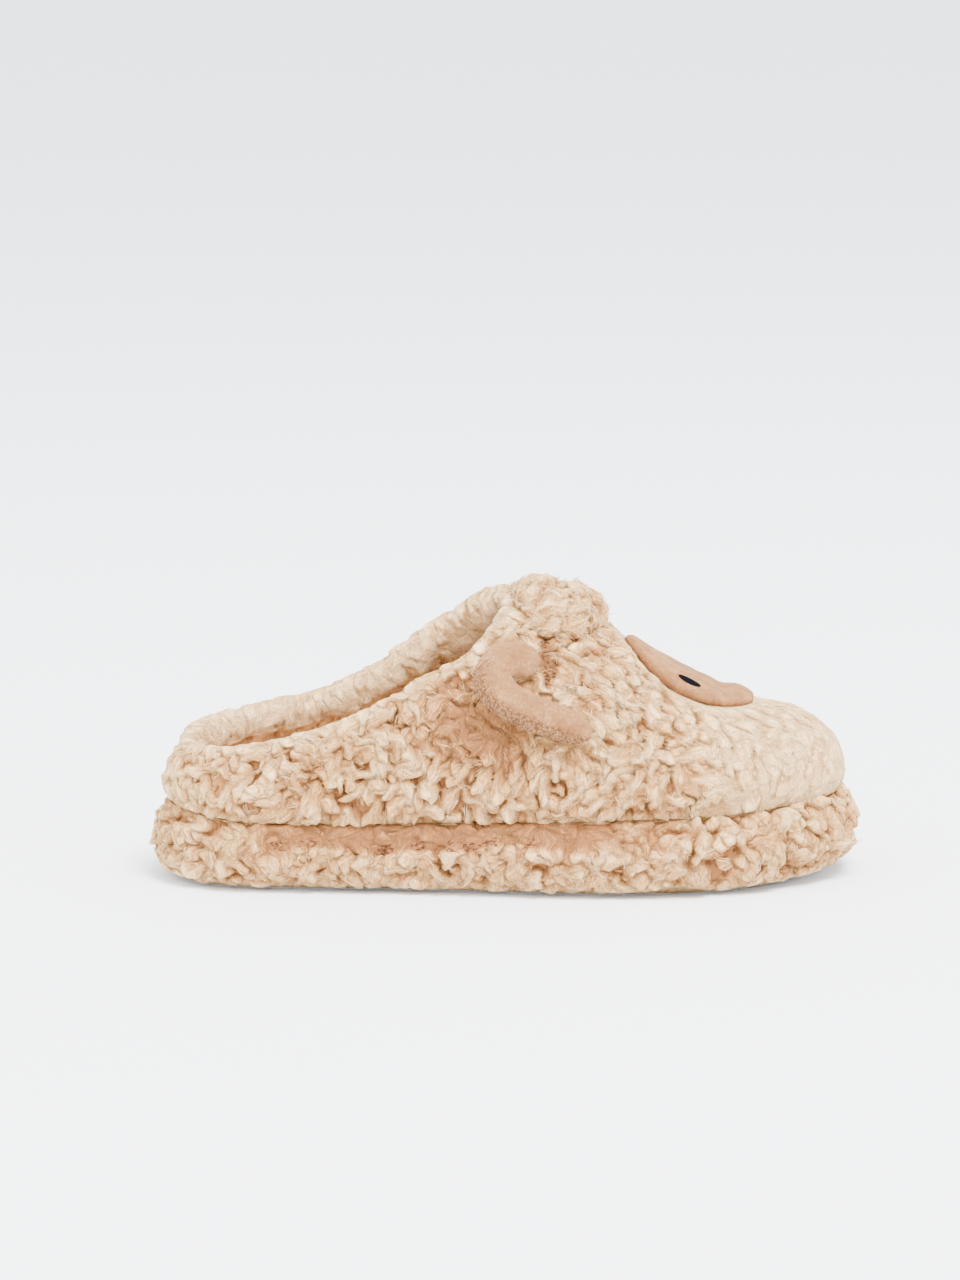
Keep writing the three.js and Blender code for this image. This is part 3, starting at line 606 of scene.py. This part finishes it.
def rim_rows(grid, normals, turns):
    """Half a circle of rows over the rim, from the fleece side to the lining, its radius half the wall."""
    up = unit(grid[-1] - grid[-2])
    angle = (np.asarray(turns) * np.pi)[:, None, None]
    radius = UPPER_WALL / 2
    return grid[-1] + normals[-1] * radius * (np.cos(angle) - 1) + up * radius * np.sin(angle)


rim = rim_rows(outer, outer_normals, np.linspace(0, 1, RIM_STEPS + 2)[1:-1])
inward = outer_normals.copy()
inward[0, :, 2] = 0
lining_rows = FINE_ROWS - np.round(FINE_ROWS * np.linspace(0.05, 1, 20) ** 1.5).astype(int)
inner = (outer - unit(inward) * UPPER_WALL)[lining_rows]


def oval_share(point, sizes):
    x = (point[..., 0] - sizes["from_heel"]) / sizes["half_length"]
    y = (point[..., 1] - centre_at(sizes["from_heel"])) / sizes["half_width"]
    return np.where(point[..., 2] > 2 * PLATFORM_HEIGHT, np.hypot(x, y), 9)


def dart_at(point):
    """1 along the short upright seam in which each ear is sewn, and 0 away from it."""
    beside = bell(point[..., 0], DART["from_heel"], DART["half_width"])
    return beside * between(point[..., 2], DART["bottom"] - 2, DART["bottom"], DART["top"], DART["top"] + 3)


def patch_at(point, patch):
    """1 in the middle of a patch on either side of the upper, and 0 away from it."""
    along = bell(point[..., 0], patch["from_heel"], patch["half_length"])
    return along * bell(point[..., 2], patch["height"], patch["half_height"])


def upper_nap(point):
    """How far the pile stands, from 0 to 1: pressed at the seams and round the face, and short on the toe."""
    x = point[..., 0]
    above_seam = point[..., 2] - seam_at(x)
    nap = section["nap"](x / UPPER_LENGTH)
    pressed = {
        "seam": smooth_step(above_seam, 5.0, 1.0),
        "dart": dart_at(point),
        "under_ear": patch_at(point, UNDER_EAR),
        "ear_crook": patch_at(point, EAR_CROOK),
        "face": smooth_step(oval_share(point, FACE), 1.3, 1.0),
    }
    for place, share in pressed.items():
        nap = nap * (1 - PRESSED[place] * share)
    hanging = bell(x, HANGING_TUFTS["from_heel"], HANGING_TUFTS["half_length"])
    hanging = hanging * smooth_step(above_seam, HANGING_TUFTS["up_to"], HANGING_TUFTS["full_to"])
    return nap * (1 + HANGING_TUFTS["longer"] * hanging)


def stitches_show(x):
    """Stitches show here and there in the groove, from the heel to the waist of the foot: where a wave along
    it is high, the pile over them is thin."""
    wave = np.sin(x / 2.9 + 2 * np.sin(x / 7.3))
    return between(x, 20, 45, 120, 145) * smooth_step(wave, 0.1, 0.7)


def make_upper():
    """The hollow shell: fleece side, rim and lining in one closed ring of rows. The lining has its own
    finish, and the rim is fuller on its medial side."""
    rows = np.concatenate([outer, rim, inner])
    normals = grid_normals(rows)
    row = np.arange(len(rows))[:, None]
    near_rim = smooth_step(row, FINE_ROWS - 8, FINE_ROWS + 1)
    full = near_rim * smooth_step(row, INNER_FROM + 6, INNER_FROM + 2)
    full = full * smooth_step(rows[..., 1] - centre_at(rows[..., 0]), -4, 14)
    fleece_side = smooth_step(row, FIRST_LINING + 1, FIRST_LINING - 2)
    nap = upper_nap(rows) * fleece_side * (1 - PRESSED["rim"] * near_rim)
    seam = smooth_step(rows[..., 2] - seam_at(rows[..., 0]), 3.5, 0.5)
    # Painted shade: in the groove over the seam, in the dart's slit, and in the ear's shadow under it.
    shade = np.maximum(SHADED["seam"] * seam, SHADED["dart"] * dart_at(rows))
    shade = np.maximum(shade, SHADED["under_ear"] * patch_at(rows, UNDER_EAR))
    # Painted light: the pile just inside the collar is made paler where it lies in shade.
    shade = shade + SHADED["rim"] * between(row - INNER_FROM, -5, 1, 2, 7)
    rows = rows + normals * (RIM_FULLNESS * full - DART["depth"] * dart_at(rows))[..., None]
    # Flecks: stitches along the groove; at the dart they are painted shade of its slit.
    stitches = np.maximum(seam * stitches_show(rows[..., 0]), 0.8 * dart_at(rows) ** 4)
    rows, attributes = fleeced(rows, normals, UPPER_PILE, nap, shade, stitches)
    faces = [quads_of(len(rows), FINE_COLUMNS, ring=True)]
    piece = make_piece("upper_shell", rows, faces, curls, "upper", attributes)
    piece.data.materials.append(lining)
    row = np.arange(len(piece.data.polygons)) // FINE_COLUMNS
    piece.data.polygons.foreach_set("material_index", (row >= FIRST_LINING).astype(np.int32))
    return rows


def cap(first, columns, flip):
    ring = first + np.arange(columns)
    return (ring[::-1] if flip else ring)[None, :]


def roll_row(angle, turn):
    """A row of the wrap's roll: half an ellipse from the skirt up to the seam, at a turn about its middle."""
    x = foot_point(angle)[..., 0]
    skirt = SKIRT_GAP - OUTSOLE_INSET
    grow = skirt + (WRAP_PROUD * section["roll"](x / UPPER_LENGTH) - skirt) * np.cos(turn)
    point = outline_point(angle, grow)
    low = spring_at(x) + SKIRT_FLOOR_GAP
    point[..., 2] = low + (seam_at(x) - low) * (1 + np.sin(turn)) / 2
    return point


ROLL_TURNS = np.radians(np.linspace(-62, 84, 56))
BAND_RISE = 1.9
BAND_WANDER = 0.06
BAND_EDGE = (0.68, 0.8)
BAND_EDGE_AHEAD = (0.95, 1.08)
STITCH_LINE = (0.7, 0.76, 0.8, 0.86)
BEHIND_BALL = (20, 46, 145, 185)
SOLE_SHOWS = {"from_heel": 186.0, "half_length": 15.0, "lift": 4.2}
ring_angles = round_angles(FINE_COLUMNS)
roll = np.stack([roll_row(ring_angles, turn) for turn in ROLL_TURNS])
roll[..., 2] += BAND_RISE * smooth_step(ROLL_TURNS, 0.6, 1.4)[:, None]


def level_ring(grow, height):
    point = outline_point(ring_angles, np.full(FINE_COLUMNS, float(grow)))
    point[:, 2] = height(point[:, 0])
    return point[None]


def floor_of_wrap(x):
    return spring_at(x) + OUTSOLE_THICKNESS + CLEARANCE


def make_wrap():
    """The wrapped midsole: its underside, skirt, roll and top as one closed stack of rings, its roll in
    fleece. A band at the top of the roll is combed flat, and its edge wanders as two sine waves do."""
    skirt = SKIRT_GAP - OUTSOLE_INSET
    x = roll[..., 0]
    above_floor = roll[..., 2] - spring_at(x)
    level = above_floor / seam_at(x) + BAND_WANDER * (np.sin(x / 5.5) + np.sin(x / 12.5 + 1)) / 2
    behind_ball = between(x, *BEHIND_BALL)
    band = smooth_step(level, *BAND_EDGE) * behind_ball
    band = band + smooth_step(level, *BAND_EDGE_AHEAD) * (1 - behind_ball)
    nap = (1 - PRESSED["band"] * band) * smooth_step(above_floor, -1.0, 6.0)
    stitches = between(level, *STITCH_LINE) * stitches_show(x)
    # Painted shade on the combed band, which lies recessed under the upper's edge, deeper behind the ball.
    shade = (SHADED["band"] + SHADED["band_behind_ball"] * behind_ball) * band
    fleece, attributes = fleeced(roll, grid_normals(roll), WRAP_PILE, nap, shade, stitches, CLUMP)
    lift = SOLE_SHOWS["lift"] * bell(fleece[..., 0], SOLE_SHOWS["from_heel"], SOLE_SHOWS["half_length"])
    fleece[..., 2] = np.maximum(fleece[..., 2], CLEARANCE + lift * (fleece[..., 1] < 0))
    below = [
        level_ring(skirt - 1, floor_of_wrap),
        level_ring(skirt, floor_of_wrap),
        level_ring(skirt + 1.2, lambda x: spring_at(x) + SKIRT_FLOOR_GAP),
    ]
    above = [
        level_ring(-FEATHER_TUCK / 2, lambda x: seam_at(x) + BAND_RISE),
        level_ring(-FEATHER_TUCK - UPPER_WALL, seam_at),
    ]
    rows = np.concatenate(below + [fleece] + above)
    before, after = len(below) * FINE_COLUMNS, len(above) * FINE_COLUMNS
    attributes = {
        "tip": np.concatenate([np.ones(before), attributes["tip"], np.zeros(after)]),
        "strand": np.concatenate([np.zeros((before, 3)), attributes["strand"], np.zeros((after, 3))]),
        "seam": np.concatenate([np.zeros(before), attributes["seam"], np.zeros(after)]),
    }
    faces = [quads_of(len(rows), FINE_COLUMNS)] + ladder_caps(len(rows), FINE_COLUMNS)
    make_piece("wrap_shell", rows, faces, curls, "midsole_wrap", attributes)
    return fleece


def ladder_caps(rows, columns):
    """Rungs across the first ring and the last, from each side to the other."""
    i = np.arange(1, columns // 2 - 1)
    first = np.stack([i, (columns - i) % columns, columns - i - 1, i + 1], axis=-1)
    ends = np.array([[0, columns - 1, 1], [columns // 2, columns // 2 - 1, columns // 2 + 1]])
    top = (rows - 1) * columns
    return [first, ends, first[:, ::-1] + top, ends[:, ::-1] + top]


INSOLE_CROWN_INSET = 3.2
INSOLE_FOOT_INSET = 1.5
INSOLE_FOOT_HEIGHT = 0.5
INSOLE_SINK = 0.8


def make_insole():
    """The padded footbed: a low crowned pad, its edge eased by a quarter ellipse."""
    grow = -FEATHER_TUCK - UPPER_WALL - CLEARANCE
    rows = [level_ring(grow - INSOLE_FOOT_INSET, lambda x: seam_at(x) + CLEARANCE)]
    for turn in np.radians(np.linspace(0, 80, 7)):
        up = CLEARANCE + INSOLE_FOOT_HEIGHT + (INSOLE_THICKNESS - INSOLE_SINK) * np.sin(turn)
        rows.append(level_ring(grow - INSOLE_CROWN_INSET * (1 - np.cos(turn)), lambda x: seam_at(x) + up))
    rows = np.concatenate(rows)
    faces = [quads_of(len(rows), FINE_COLUMNS)] + ladder_caps(len(rows), FINE_COLUMNS)
    make_piece("footbed", rows, faces, lining, "insole")


upper_fleece = make_upper()
wrap_fleece = make_wrap()
make_insole()

# Pads


def bulge(share, power):
    return np.maximum(1 - np.minimum(1, share) ** power, 0) ** (1 / power)


def face_top(x, y):
    """The face's stand off the last: a pad that drops at its edge, with bell curves along it for the brow,
    the dent behind the muzzle and the muzzle."""
    ahead = (x - FACE["from_heel"]) / FACE["half_length"]
    aside = (y - centre_at(x)) / (FACE["half_width"] * (1 - FACE["taper"] * ahead))
    pad = 0.45 + 0.55 * bulge(np.hypot(ahead, aside), 3.2)
    swell = sum(high * bell(ahead, at, long) for at, high, long in zip(*FACE_SWELLS.values()))
    return FACE["thickness"] * pad + swell * np.maximum(0, 1 - aside**2)


def oval_pad(sizes, from_centre, taper, rings, spokes, top, bottom):
    """A closed pad on the last: rings of an oval from its middle out below, and back to its middle above."""
    angle = round_angles(spokes)[None, :]
    share = np.concatenate([np.linspace(0.02, 1, rings), np.linspace(1, 0.02, rings)])[:, None]
    upper_side = (np.arange(2 * rings) >= rings)[:, None]
    x = sizes["from_heel"] + sizes["half_length"] * share * np.cos(angle)
    narrowing = 1 - taper * share * np.cos(angle)
    middle = centre_at(sizes["from_heel"]) + from_centre
    y = middle + sizes["half_width"] * narrowing * share * np.sin(angle)
    off = np.where(upper_side, top(share, x, y), bottom(share, x, y))
    points = stack(x, y, dome_height(x, y) + CLEARANCE) + dome_normal(x, y) * off[..., None]
    faces = [
        quads_of(2 * rings, spokes),
        cap(0, spokes, flip=True),
        cap((2 * rings - 1) * spokes, spokes, flip=False),
    ]
    return points, faces


FACE_FOOT = 0.4
EYE_SINK = 0.2
EAR_SPOKES = 28


def make_face():
    points, faces = oval_pad(
        FACE,
        0.0,
        FACE["taper"],
        22,
        96,
        lambda share, x, y: face_top(x, y),
        lambda share, x, y: 0 * x + FACE_FOOT,
    )
    make_piece("face_pad", points, faces, velour, "face_patch")


def make_eye(name, side, node):
    points, faces = oval_pad(
        EYE,
        side * EYE["from_centre"],
        0.0,
        7,
        36,
        lambda share, x, y: face_top(x, y) + EYE["thickness"] * (0.3 + 0.6 * bulge(share, 2)),
        lambda share, x, y: face_top(x, y) - EYE_SINK,
    )
    make_piece(name, points, faces, thread, node)


def side_point(x, z, side):
    """The last's point on one side, at a height: the arch solved for its width."""
    rise = np.clip((z - seam_at(x)) / (crown_at(x) - seam_at(x)), 0, 0.999)
    return stack(x, centre_at(x) + side * arch_reach(rise) * full_half_width(x, side), z)


def make_ear(name, side, node):
    """A stuffed hook: pillow sections carried along the ear's line, square to it and to the last."""
    share = np.linspace(0, 1, 44)

    def centre_of(s):
        x = EAR["bend_from_heel"] + EAR["length"] * ear_line["forward"](s)
        return side_point(x, EAR["bend_height"] + EAR["length"] * ear_line["up"](s), side)

    centre = centre_of(share)
    along = unit(centre_of(np.minimum(1, share + 0.02)) - centre_of(np.maximum(0, share - 0.02)))
    out = dome_normal(centre[:, 0], centre[:, 1])
    out = unit(out - along * np.sum(out * along, axis=-1, keepdims=True))
    across = np.cross(out, along)
    centre = centre + out * (EAR["thickness"] * ear_line["off"](share))[:, None]
    turn = round_angles(EAR_SPOKES)[None, :, None]
    tip = bulge(np.clip((share - 0.9) / 0.11, 0, 1), 2) * bulge(np.clip((0.07 - share) / 0.08, 0, 1), 2)
    wide = (EAR["width"] / 2 * ear_line["width"](share) * tip)[:, None, None]
    full = (EAR["thickness"] / 2 * ear_line["full"](share) * tip)[:, None, None]
    pillow = np.sign(np.sin(turn)) * np.abs(np.sin(turn)) ** 1.15
    points = centre[:, None, :] + across[:, None, :] * wide * np.cos(turn) + out[:, None, :] * full * pillow
    edge = smooth_step(np.cos(turn[..., 0]) * np.sign(side), 0.1, 0.5)
    attributes = {"edge": (edge * smooth_step(share, 0.2, 0.42)[:, None]).ravel()}
    quads = quads_of(len(share), EAR_SPOKES)
    ends = [cap(0, EAR_SPOKES, flip=True), cap((len(share) - 1) * EAR_SPOKES, EAR_SPOKES, flip=False)]
    if side < 0:
        quads, ends = quads[:, ::-1], [end[:, ::-1] for end in ends]
    make_piece(name, points, [quads] + ends, ear_velour, node, attributes)


make_face()
make_eye("eye_thread_lateral", -1, "eye_lateral")
make_eye("eye_thread_medial", 1, "eye_medial")
make_ear("ear_hook_lateral", -1, "ear_lateral")
make_ear("ear_hook_medial", 1, "ear_medial")

# Wisps that stand off the fleece

STRANDS_IN_A_WISP = 3
STRAND_SIDES = 3
STRAND_RADIUS = 0.13
WISP_FLATNESS = 0.7
STRAND = {
    "at": [0, 0.3, 0.6, 0.85, 1],
    "girth": [0.75, 1.0, 0.9, 0.7, 0.25],
    "gather": [0.75, 1.1, 1.05, 0.8, 0.5],
}
CRIMP = 0.25
CRIMP_WAVES = 1.2
SHORTEST_STRAND = 0.72
WISP = {"length": (3.0, 6.5), "width": (0.4, 0.9), "height": (0.2, 0.8), "turn": (0.2, 0.8)}
ROOT_BEHIND = 0.35
ROOT_DEPTH = 0.3
LEAST_NAP = 0.8


def spread(grid, normals, spacing, seed):
    """Points over a grid surface, even by area, thinned to one in each cube of the spacing."""
    rng = np.random.default_rng(seed)
    a = grid[:-1]
    b = np.roll(grid, -1, axis=1)[:-1]
    c = np.roll(grid, -1, axis=1)[1:]
    d = grid[1:]
    area = np.linalg.norm(np.cross(c - a, d - b), axis=-1).ravel() / 2
    wanted = int(area.sum() / spacing**2 * 14)
    cell = np.searchsorted(np.cumsum(area) / area.sum(), rng.random(wanted))
    cell = np.minimum(cell, len(area) - 1)
    u = rng.random(wanted)[:, None]
    v = rng.random(wanted)[:, None]
    corners = [part.reshape(-1, 3)[cell] for part in (a, b, c, d)]
    point = (corners[0] * (1 - u) + corners[1] * u) * (1 - v) + (corners[3] * (1 - u) + corners[2] * u) * v
    row, column = np.divmod(cell, grid.shape[1])
    normal = normals[row, column]
    _, kept = np.unique(np.floor(point / spacing).astype(int), axis=0, return_index=True)
    return point[kept], normal[kept], rng


def make_wisps(name, slot, root, normal, flow, length, width, height, turn, rng):
    """Wisps of fleece, each a bundle of strands round one line, gathered at its tip. The line starts along
    the flow and turns evenly in the backing's plane, as an arc of a circle does. It rises off the backing and
    comes down again as half a sine wave, and a sine wave across it is the strands' crimp."""
    count = len(root)
    rings = len(STRAND["at"])
    length, width, height, turn = (v[:, None, None] for v in (length, width, height, turn))
    flow = unit(flow - normal * dot(flow, normal)[:, None])
    aside = np.cross(normal, flow)[:, None, None, :]
    flow, normal = flow[:, None, None, :], normal[:, None, None, :]
    reach = SHORTEST_STRAND + (1 - SHORTEST_STRAND) * rng.random((count, STRANDS_IN_A_WISP, 1))
    t = np.array(STRAND["at"])[None, None, :] * reach
    ahead = length * np.sin(turn * t) / turn
    sideways = length * (1 - np.cos(turn * t)) / turn
    climb = height * np.sin(np.pi * (0.02 + 0.8 * t)) - ROOT_DEPTH
    line = root[:, None, None, :] + flow * (ahead - length * ROOT_BEHIND)[..., None]
    line = line + aside * sideways[..., None] + normal * climb[..., None]
    along = unit(np.gradient(line, axis=2))
    across = unit(np.cross(along, normal))
    over = np.cross(across, along)
    golden = np.pi * (3 - np.sqrt(5))
    order = np.arange(STRANDS_IN_A_WISP)[None, :, None]
    place = golden * order + 2 * np.pi * rng.random((count, 1, 1)) + 0.7 * turn * t
    apart = width * np.sqrt((order + 0.5) / STRANDS_IN_A_WISP) * np.interp(t, STRAND["at"], STRAND["gather"])
    phase = rng.random((count, 1, 1)) + 0.12 * rng.random((count, STRANDS_IN_A_WISP, 1))
    wave = 2 * np.pi * (CRIMP_WAVES * t + phase)
    line = line + across * (apart * np.cos(place) + CRIMP * np.sin(wave))[..., None]
    line = line + over * (WISP_FLATNESS * apart * np.sin(place))[..., None]
    spin = round_angles(STRAND_SIDES)[None, None, None, :, None] + place[..., None, None]
    thick = STRAND_RADIUS * (0.7 + 0.6 * rng.random((count, STRANDS_IN_A_WISP, 1)))
    girth = (thick * np.array(STRAND["girth"]))[..., None, None]
    ring = across[..., None, :] * np.cos(spin) + over[..., None, :] * np.sin(spin)
    points = line[..., None, :] + girth * ring
    strands = count * STRANDS_IN_A_WISP
    per_strand = rings * STRAND_SIDES
    start = (np.arange(strands) * per_strand)[:, None, None]
    quads = (quads_of(rings, STRAND_SIDES)[None, :, ::-1] + start).reshape(-1, 4)
    first = (np.arange(STRAND_SIDES)[None, None, :] + start).reshape(-1, STRAND_SIDES)
    last = first[:, ::-1] + per_strand - STRAND_SIDES
    lot = 0.3 * (rng.random((count, STRANDS_IN_A_WISP, 1, 1)) - 0.5)
    tip = np.broadcast_to(0.75 + lot, points.shape[:-1])
    strand = np.broadcast_to(lot[..., None], points.shape)
    attributes = {"tip": tip.ravel(), "strand": strand.reshape(-1, 3)}
    make_piece(name, points, [quads, first, last], curls, attributes=attributes)


def stirred_flow(point, normal, pile, rng):
    """A direction in the backing's plane: the pile's lean, turned by an angle that wanders over it."""
    lean = np.asarray(pile["lean"], float) + 0.2 * rng.normal(size=normal.shape)
    flat = unit(lean - normal * dot(lean, normal)[:, None])
    angle = (pile["stir"] * swirl(point, SWIRL_LENGTH, pile["seed"]))[:, None]
    return flat * np.cos(angle) + np.cross(normal, flat) * np.sin(angle)


def either_way(count, rng):
    return np.where(rng.random(count) < 0.5, -1, 1)


def wisps_on(name, slot, grid, spacing, pile, nap_of, seed):
    """Wisps over a fleece surface, on its lateral side and its medial side, where its nap is long enough."""
    point, normal, rng = spread(grid, grid_normals(grid), spacing, seed)
    nap = nap_of(point)
    point, normal, nap = (v[nap > LEAST_NAP] for v in (point, normal, nap))
    count = len(point)

    def drawn(measure):
        low, high = WISP[measure]
        return low + (high - low) * rng.random(count)

    flow = stirred_flow(point, normal, pile, rng)
    length = drawn("length")
    width = drawn("width")
    height = drawn("height") * nap
    turn = either_way(count, rng) * drawn("turn")
    for label, chosen in (("lateral", normal[:, 1] < 0), ("medial", normal[:, 1] >= 0)):
        picked = [v[chosen] for v in (point, normal, flow, length, width, height, turn)]
        make_wisps(f"{name}_{label}", slot, *picked, rng)


TOPKNOT_SPOKES = 150
CREST = {"least": 2.0, "ahead": 2.2}


def make_topknot():
    """Longer curls over an oval dome at the throat, falling away from its middle."""
    share = np.linspace(0.02, 1.0, 24)[:, None]
    angle = round_angles(TOPKNOT_SPOKES)[None, :]
    x = TOPKNOT["from_heel"] + TOPKNOT["half_length"] * share * np.cos(angle)
    y = centre_at(TOPKNOT["from_heel"]) + TOPKNOT["half_width"] * share * np.sin(angle)
    crest = CREST["least"] + CREST["ahead"] * smooth_step(share * np.cos(angle), -0.1, 0.6)
    off = TOPKNOT["thickness"] * (0.1 + 0.9 * bulge(share, 2.4)) + crest * bulge(share, 2.4)
    top = (stack(x, y, dome_height(x, y)) + dome_normal(x, y) * off[..., None])[::-1]
    bottom = stack(x, y, dome_height(x, y)) - dome_normal(x, y) * 1.0
    nap = np.broadcast_to(smooth_step(share[::-1], 0.0, 0.15), x.shape)
    top, attributes = fleeced(top, grid_normals(top), TOPKNOT_PILE, nap, 0 * nap, 0 * nap, CLUMP)
    rows = np.concatenate([bottom, top])
    before = bottom[..., 0].size
    attributes = {
        "tip": np.concatenate([np.zeros(before), attributes["tip"]]),
        "strand": np.concatenate([np.zeros((before, 3)), attributes["strand"]]),
        "seam": np.concatenate([np.zeros(before), attributes["seam"]]),
    }
    faces = [
        quads_of(len(rows), TOPKNOT_SPOKES),
        cap(0, TOPKNOT_SPOKES, flip=True),
        cap((len(rows) - 1) * TOPKNOT_SPOKES, TOPKNOT_SPOKES, flip=False),
    ]
    make_piece("topknot_pad", rows, faces, curls, "topknot", attributes=attributes)
    return top


def even_nap(value):
    return lambda point: np.full(len(point), value)


upper_outside = upper_fleece[: FINE_ROWS - 4]
roll_below_band = wrap_fleece[12:-26]
wisps_on("upper_wisps", "curly_fleece", upper_outside, 6.5, UPPER_PILE, upper_nap, 11)
wisps_on("wrap_wisps", "wrap_fleece", roll_below_band, 6.5, WRAP_PILE, even_nap(1.0), 23)
wisps_on("topknot_wisps", "topknot_fleece", make_topknot(), 3.5, TOPKNOT_PILE, even_nap(1.3), 37)

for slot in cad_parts["outsole"].material_slots:
    slot.material = sheet

# Studio

CAMERA_DISTANCE = 1.55
ELEVATION = np.radians(12.5)
SCALE_M_PER_PX = 0.0003675
TARGET_X = -0.009
TARGET_ROW_BELOW_CENTRE = 231
FRAME_HEIGHT_PX = 1280
SENSOR = 36.0
FLOOR_COLOR = (0.805, 0.82, 0.845)
FLOOR_REACH = 60.0
SKY_COLOR = (0.93, 0.96, 1.0, 1)
SKY_STRENGTH = 4.0
LIGHTS = {
    "key": {"size": 1.65, "power": 364, "place": (0.75, -1.2, 2.85)},
    "fill": {"size": 3.0, "power": 56, "place": (-1.95, -1.8, 1.5)},
}


def make_floor():
    """A wide level sheet, pale and matt."""
    finish = Finish("studio_floor", FLOOR_COLOR, 0.9)
    corners = [(FLOOR_REACH * a, FLOOR_REACH * b, 0) for a, b in ((-1, -1), (1, -1), (1, 1), (-1, 1))]
    mesh = bpy.data.meshes.new("studio_floor")
    mesh.from_pydata(corners, [], [(0, 1, 2, 3)])
    floor = bpy.data.objects.new("studio_floor", mesh)
    bpy.context.collection.objects.link(floor)
    mesh.materials.append(finish.material)


def make_light(name, size, power, place, target=(0, 0, 0.04)):
    light = bpy.data.lights.new(name, "AREA")
    light.shape = "DISK"
    light.size = size
    light.energy = power
    lamp = bpy.data.objects.new(name, light)
    lamp.location = place
    lamp.rotation_euler = (Vector(target) - Vector(place)).to_track_quat("-Z", "Y").to_euler()
    bpy.context.collection.objects.link(lamp)


def make_camera():
    """The photo's view: level with the slipper's side and a little above it."""
    camera = bpy.data.cameras.new("camera")
    focal_px = CAMERA_DISTANCE / SCALE_M_PER_PX
    camera.lens = focal_px * SENSOR / FRAME_HEIGHT_PX
    camera.sensor_width = SENSOR
    camera.clip_end = 200
    tilt = ELEVATION - np.arctan(TARGET_ROW_BELOW_CENTRE / focal_px)
    holder = bpy.data.objects.new("camera", camera)
    holder.location = (TARGET_X, -CAMERA_DISTANCE * np.cos(ELEVATION), CAMERA_DISTANCE * np.sin(ELEVATION))
    holder.rotation_euler = (np.pi / 2 - tilt, 0, 0)
    bpy.context.collection.objects.link(holder)
    bpy.context.scene.camera = holder


make_floor()
for name, light in LIGHTS.items():
    make_light(name, **light)
make_camera()
world = bpy.data.worlds.new("studio")
world.use_nodes = True
world.node_tree.nodes["Background"].inputs["Color"].default_value = SKY_COLOR
world.node_tree.nodes["Background"].inputs["Strength"].default_value = SKY_STRENGTH
bpy.context.scene.world = world
